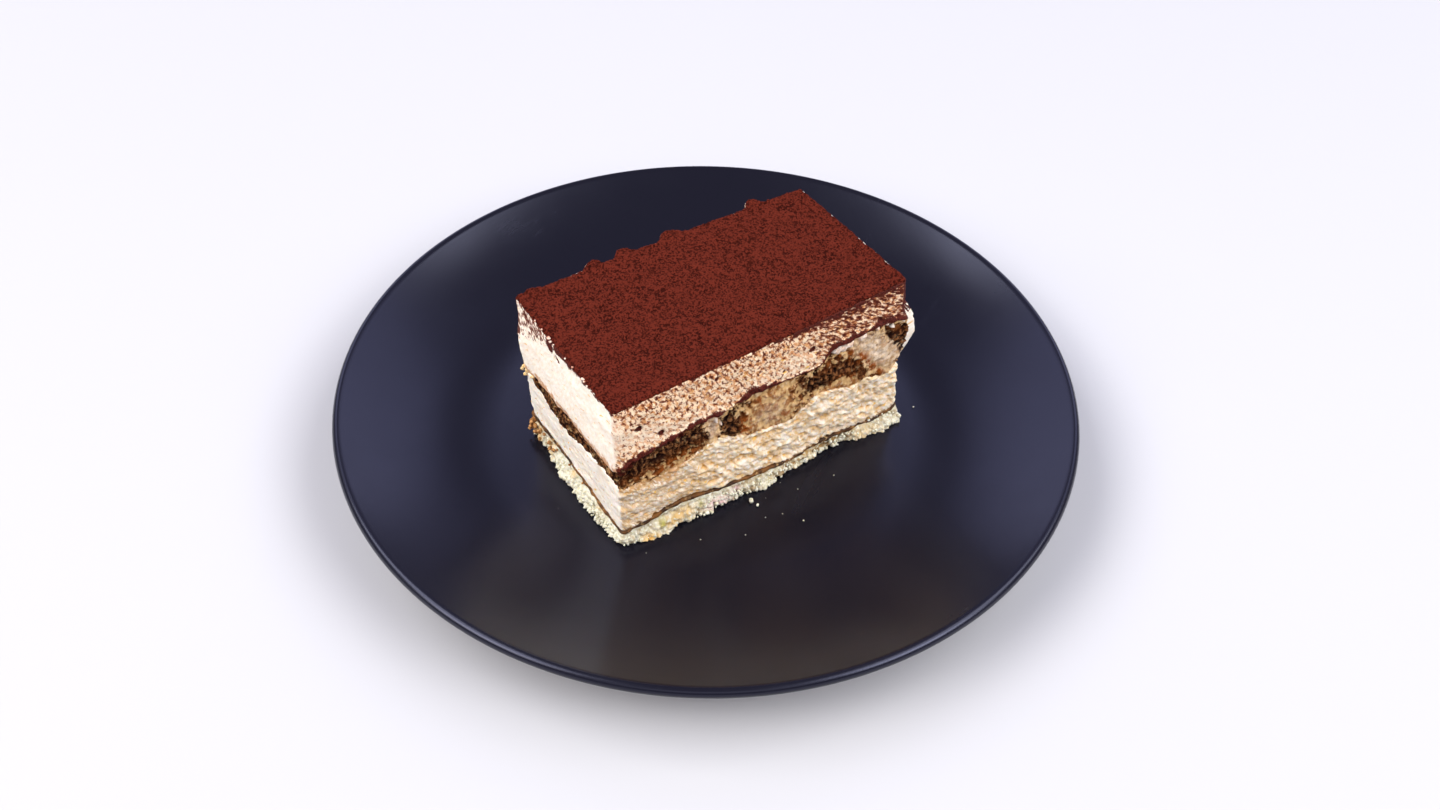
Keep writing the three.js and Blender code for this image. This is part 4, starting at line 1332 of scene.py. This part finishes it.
def cocoa_top_points(rim, index):
    """Points of the top inside its rim: the blend of the rim's opposite runs, each way, less
    the blend of its corners, lifted by the powder's relief."""
    steps_y, steps_x = index.shape[0] - 1, index.shape[1] - 1
    u = np.linspace(0, 1, steps_x + 1)[None, :, None]
    v = np.linspace(0, 1, steps_y + 1)[:, None, None]
    front, back = rim[index[0]][None], rim[index[-1]][None]
    left, right = rim[index[:, 0]][:, None], rim[index[:, -1]][:, None]
    near_corners = mix(rim[index[0, 0]], rim[index[0, -1]], u)
    far_corners = mix(rim[index[-1, 0]], rim[index[-1, -1]], u)
    sheet = mix(front, back, v) + mix(left, right, u) - mix(near_corners, far_corners, v)
    sheet = sheet[1:-1, 1:-1]
    x, y = slice_place(sheet)
    relief, low = powder_relief(x, y)
    height = top_line(x / SLICE.length, y / SLICE.width) + relief
    from_rim = np.minimum(np.minimum(x, SLICE.length - x), np.minimum(y, SLICE.width - y))
    near = smooth(from_rim / 1.2)
    sheet[..., 2] = mix(sheet[..., 2], (PLATE.well_height + height) * MM, near)
    return sheet.reshape(-1, 3), low.ravel()


def slice_place(points):
    """Where points lie along and across the slice, in millimetres, at the top."""
    dx, dy = points[..., 0] / MM - SLICE.corner[0], points[..., 1] / MM - SLICE.corner[1]
    cos, sin = math.cos(SLICE.yaw), math.sin(SLICE.yaw)
    return dx * cos + dy * sin - TOP_DRIFT[0], -dx * sin + dy * cos - TOP_DRIFT[1]


# ---------------- crumbs

CRUMB_RINGS = 5
CRUMB_AROUND = 7
# Limits between which each point of a crumb is moved, and each crumb stretched.
CRUMB_ROUGHNESS = (0.62, 1.25)
CRUMB_STRETCH = (0.65, 1.1)
# Crumbs torn off along the foot: how high, how far out, how large.
TORN = SimpleNamespace(lowest=0.5, rise=4.4, push=(-0.5, 0.7), sizes=(0.7, 2.0))
# Dust in the well: how many specks, how far they scatter, how large they are, and how far
# they keep from the slice along it, before and beyond, and across it.
DUST = SimpleNamespace(count=70, scatter=42, sizes=(0.15, 0.4), before=6, beyond=8, across=5)


def crumb_shapes(centres, sizes, seed):
    """Rough crumbs as one set of points: each a ball of a few rings, with every point moved
    in or out at random, squashed a little and turned."""
    random = np.random.default_rng(seed)
    count = len(centres)
    tilt = np.pi * (np.arange(CRUMB_RINGS) + 1) / (CRUMB_RINGS + 1)
    turn = 2 * np.pi * np.arange(CRUMB_AROUND) / CRUMB_AROUND
    ball = np.stack([
        np.sin(tilt)[:, None] * np.cos(turn), np.sin(tilt)[:, None] * np.sin(turn),
        -np.cos(tilt)[:, None] + 0 * turn,
    ], axis=-1).reshape(-1, 3)
    ball = np.concatenate([ball, [(0, 0, -1), (0, 0, 1)]])
    shapes = ball[None] * random.uniform(*CRUMB_ROUGHNESS, (count, len(ball), 1))
    shapes = shapes * random.uniform(*CRUMB_STRETCH, (count, 1, 3)) * np.reshape(sizes, (-1, 1, 1)) / 2
    angles = random.uniform(0, 2 * np.pi, count)
    cos, sin = np.cos(angles)[:, None], np.sin(angles)[:, None]
    turned = np.stack([
        shapes[..., 0] * cos - shapes[..., 1] * sin,
        shapes[..., 0] * sin + shapes[..., 1] * cos,
        shapes[..., 2],
    ], axis=-1)
    return turned * MM + centres[:, None]


def crumbs_piece(name, centres, sizes, seed):
    """All crumbs of one kind as one mesh."""
    shapes = crumb_shapes(centres, sizes, seed)
    count, each = shapes.shape[:2]
    quads = ring_faces(CRUMB_RINGS, CRUMB_AROUND)
    tris = np.concatenate([
        pole_faces(0, CRUMB_AROUND, each - 2, False),
        pole_faces((CRUMB_RINGS - 1) * CRUMB_AROUND, CRUMB_AROUND, each - 1, True),
    ])
    starts = each * np.arange(count)[:, None, None]
    points = shapes.reshape(-1, 3)
    return make_mesh(name, points, (quads + starts).reshape(-1, 4), (tris + starts).reshape(-1, 3))


def build_crumbs(cocoa, sponge):
    """Crumbs torn from the bottom sponge along its foot, and a few dropped in the well."""
    random = np.random.default_rng(SEED)
    way = np.sort(random.uniform(0, 1, cocoa.crumbs))
    p, q, out_x, out_y = outline(way)
    height = TORN.lowest + TORN.rise * random.uniform(0, 1, cocoa.crumbs) ** 1.6
    g = side_of(way, 2, lambda a, b: 0 * a, crumb_line)
    foot = spread(g)[0] * (1 - height / 6) + belly(g)[0]
    push = foot + random.uniform(*TORN.push, cocoa.crumbs)
    sizes = random.uniform(*TORN.sizes, cocoa.crumbs) * (1 - 0.06 * height)
    height = np.maximum(height, sizes * 0.62)
    centres = place(p, q, height, out_x * push, out_y * push)
    piece = crumbs_piece("torn_crumbs", centres, sizes, SEED + 1)
    material = crumb_finish(sponge)
    finish_piece(piece, material, "base_crumb")

    spots = np.array(WELL_CRUMBS)
    dust = random.normal(0, DUST.scatter, (DUST.count, 2))
    dust = dust[np.hypot(*dust.T) < PLATE.well_radius - 2]
    spots = np.concatenate([spots, np.column_stack([dust, random.uniform(*DUST.sizes, len(dust))])])
    x, y = slice_place(np.column_stack([spots[:, :2] * MM, 0 * spots[:, 0]]))
    clear = (x < -DUST.before) | (x > SLICE.length + DUST.beyond)
    spots = spots[clear | (y < -DUST.across) | (y > SLICE.width + DUST.across)]
    heights = PLATE.well_height + spots[:, 2] * 0.5
    centres = np.column_stack([spots[:, :2], heights]) * MM
    piece = crumbs_piece("well_crumbs", centres, spots[:, 2], SEED + 2)
    finish_piece(piece, material, "base_crumb")

    for name, bits, colours, slot in (
            ("cream_bits", CREAM_BITS, (linear(248, 226, 178), linear(226, 176, 96)), "upper_cream"),
            ("rim_bits", RIM_BITS, (linear(246, 222, 202), linear(186, 118, 88)), "upper_cream"),
            ("toast_flakes", TOAST_FLAKES, (linear(206, 156, 100), linear(146, 94, 48)), "base_crumb")):
        out, along, height, size = np.array(bits).T
        centres = place(0 * out, along / SLICE.width, height, -out)
        piece = crumbs_piece(name, centres, size, SEED + 3)
        finish_piece(piece, bit_finish(name, *colours), slot)


# ---------------- the stage

LENS = 35.0
SENSOR = 36.0
CAMERA = SimpleNamespace(
    place=(4.36, -342.16, 353.56), pitch=math.radians(44.946), roll=math.radians(1.815))


def build_camera():
    """The camera: it looks along +Y, pitched down, with a slight roll."""
    data = bpy.data.cameras.new("camera")
    data.lens = LENS
    data.sensor_width = SENSOR
    camera = bpy.data.objects.new("camera", data)
    bpy.context.scene.collection.objects.link(camera)
    forward = Vector((0, math.cos(CAMERA.pitch), -math.sin(CAMERA.pitch)))
    level = Vector((1, 0, 0))
    up = level.cross(forward)
    right = math.cos(CAMERA.roll) * level + math.sin(CAMERA.roll) * up
    top = -math.sin(CAMERA.roll) * level + math.cos(CAMERA.roll) * up
    turn = Matrix((right, top, -forward)).transposed().to_4x4()
    camera.matrix_world = Matrix.Translation(Vector(CAMERA.place) * MM) @ turn
    bpy.context.scene.camera = camera


WHITE = (1.0, 1.0, 1.0)
WARM = (1.0, 0.94, 0.87)
BLUISH = (0.68, 0.7, 1.0)
WORLD_COLOUR = (0.66, 0.65, 1.0, 1.0)
WORLD_STRENGTH = 0.32
FLOOR_REACH = 6.0
LIGHT_DISTANCE = 2.4
LIGHT_AIM = (0, 0, 0.03)
# Lights around the slice: name, direction, size, the setting of its power, colour.
LIGHTS = (
    ("softbox_left", (-0.62, -0.06, 0.78), (2.3, 1.3), "left", WHITE),
    ("softbox_right", (0.62, -0.06, 0.78), (2.3, 1.3), "right", WHITE),
    ("front_left", (-0.70, -0.42, 0.60), (1.4, 1.0), "front_left", WARM),
    ("front_right", (0.70, -0.42, 0.60), (1.4, 1.0), "front_right", WHITE),
    ("wall_left", (-0.44, 0.74, 0.5), (1.5, 1.5), "walls", BLUISH),
    ("wall_right", (0.44, 0.74, 0.5), (1.5, 1.5), "walls", BLUISH),
    ("fill", (0.05, -0.8, 0.6), (2.0, 1.0), "fill", WHITE),
)


def area_light(name, direction, size, power, colour):
    """A soft rectangular light that faces the slice from a direction."""
    data = bpy.data.lights.new(name, "AREA")
    data.shape = "RECTANGLE"
    data.size, data.size_y = size
    data.energy = power
    data.color = colour
    light = bpy.data.objects.new(name, data)
    bpy.context.scene.collection.objects.link(light)
    way = Vector(direction).normalized()
    light.location = way * LIGHT_DISTANCE + Vector(LIGHT_AIM)
    light.rotation_euler = way.to_track_quat("Z", "Y").to_euler()


def build_stage(settings):
    """A pale floor, soft lights and the camera."""
    corners = FLOOR_REACH * np.array([(-1, -1, 0), (1, -1, 0), (1, 1, 0), (-1, 1, 0)])
    floor = make_mesh("floor", corners, [(0, 1, 2, 3)])
    floor.data.materials.append(floor_finish(settings))
    for name, direction, size, power, colour in LIGHTS:
        area_light(name, direction, size, getattr(settings, power), colour)
    world = bpy.data.worlds.new("studio")
    bpy.context.scene.world = world
    world.use_nodes = True
    background = next(n for n in world.node_tree.nodes if n.type == "BACKGROUND")
    background.inputs["Color"].default_value = WORLD_COLOUR
    background.inputs["Strength"].default_value = WORLD_STRENGTH
    bpy.context.scene.view_settings.view_transform = "Standard"
    build_camera()


# ---------------- the add-on

class TIRAMISU_OT_plate(bpy.types.Operator):
    """Turn the coupe plate and glaze it"""
    bl_idname = "tiramisu.plate"
    bl_label = "Coupe plate"

    def execute(self, context):
        build_plate(context.scene.tiramisu_plate)
        return {"FINISHED"}


class TIRAMISU_OT_bottom_sponge(bpy.types.Operator):
    """Build the torn bottom sponge and its soaked skin"""
    bl_idname = "tiramisu.bottom_sponge"
    bl_label = "Bottom sponge and skin"

    def execute(self, context):
        build_bottom_sponge(context.scene.tiramisu_sponge)
        build_soaked_skin(context.scene.tiramisu_sponge)
        return {"FINISHED"}


class TIRAMISU_OT_lower_cream(bpy.types.Operator):
    """Build the lower cream with its knife drag"""
    bl_idname = "tiramisu.lower_cream"
    bl_label = "Lower cream"

    def execute(self, context):
        build_lower_cream(context.scene.tiramisu_cream)
        return {"FINISHED"}


class TIRAMISU_OT_middle_sponge(bpy.types.Operator):
    """Build the soaked middle sponge"""
    bl_idname = "tiramisu.middle_sponge"
    bl_label = "Middle sponge"

    def execute(self, context):
        build_middle_sponge(context.scene.tiramisu_sponge)
        return {"FINISHED"}


class TIRAMISU_OT_upper_cream(bpy.types.Operator):
    """Build the upper cream with its roll and its dragged cocoa"""
    bl_idname = "tiramisu.upper_cream"
    bl_label = "Upper cream"

    def execute(self, context):
        build_upper_cream(context.scene.tiramisu_cream, context.scene.tiramisu_cocoa)
        return {"FINISHED"}


class TIRAMISU_OT_cocoa(bpy.types.Operator):
    """Dust the top with cocoa"""
    bl_idname = "tiramisu.cocoa"
    bl_label = "Cocoa top"

    def execute(self, context):
        build_cocoa(context.scene.tiramisu_cocoa)
        return {"FINISHED"}


class TIRAMISU_OT_crumbs(bpy.types.Operator):
    """Strew crumbs along the foot and in the well"""
    bl_idname = "tiramisu.crumbs"
    bl_label = "Crumbs"

    def execute(self, context):
        build_crumbs(context.scene.tiramisu_cocoa, context.scene.tiramisu_sponge)
        return {"FINISHED"}


class TIRAMISU_OT_stage(bpy.types.Operator):
    """Set up the floor, the lights and the camera"""
    bl_idname = "tiramisu.stage"
    bl_label = "Stage"

    def execute(self, context):
        build_stage(context.scene.tiramisu_stage)
        return {"FINISHED"}


SETTINGS = {
    "tiramisu_plate": PlateSettings,
    "tiramisu_cream": CreamSettings,
    "tiramisu_sponge": SpongeSettings,
    "tiramisu_cocoa": CocoaSettings,
    "tiramisu_stage": StageSettings,
}
OPERATORS = (
    TIRAMISU_OT_plate, TIRAMISU_OT_bottom_sponge, TIRAMISU_OT_lower_cream, TIRAMISU_OT_middle_sponge,
    TIRAMISU_OT_upper_cream, TIRAMISU_OT_cocoa, TIRAMISU_OT_crumbs, TIRAMISU_OT_stage,
)


class TIRAMISU_PT_panel(bpy.types.Panel):
    """The slice's settings and the buttons that build its pieces"""
    bl_idname = "TIRAMISU_PT_panel"
    bl_label = "Tiramisu Slice"
    bl_space_type = "VIEW_3D"
    bl_region_type = "UI"
    bl_category = "Tiramisu"

    def draw(self, context):
        for name, group in SETTINGS.items():
            box = self.layout.box()
            for prop in group.__annotations__:
                box.prop(getattr(context.scene, name), prop)
        for operator in OPERATORS:
            self.layout.operator(operator.bl_idname)


def register():
    for group in SETTINGS.values():
        bpy.utils.register_class(group)
    for operator in OPERATORS:
        bpy.utils.register_class(operator)
    bpy.utils.register_class(TIRAMISU_PT_panel)
    for name, group in SETTINGS.items():
        setattr(bpy.types.Scene, name, PointerProperty(type=group))


def unregister():
    for name in SETTINGS:
        delattr(bpy.types.Scene, name)
    bpy.utils.unregister_class(TIRAMISU_PT_panel)
    for operator in reversed(OPERATORS):
        bpy.utils.unregister_class(operator)
    for group in reversed(list(SETTINGS.values())):
        bpy.utils.unregister_class(group)


def main():
    register()
    bpy.ops.tiramisu.plate()
    bpy.ops.tiramisu.bottom_sponge()
    bpy.ops.tiramisu.lower_cream()
    bpy.ops.tiramisu.middle_sponge()
    bpy.ops.tiramisu.upper_cream()
    bpy.ops.tiramisu.cocoa()
    bpy.ops.tiramisu.crumbs()
    bpy.ops.tiramisu.stage()


if __name__ == "__main__":
    main()
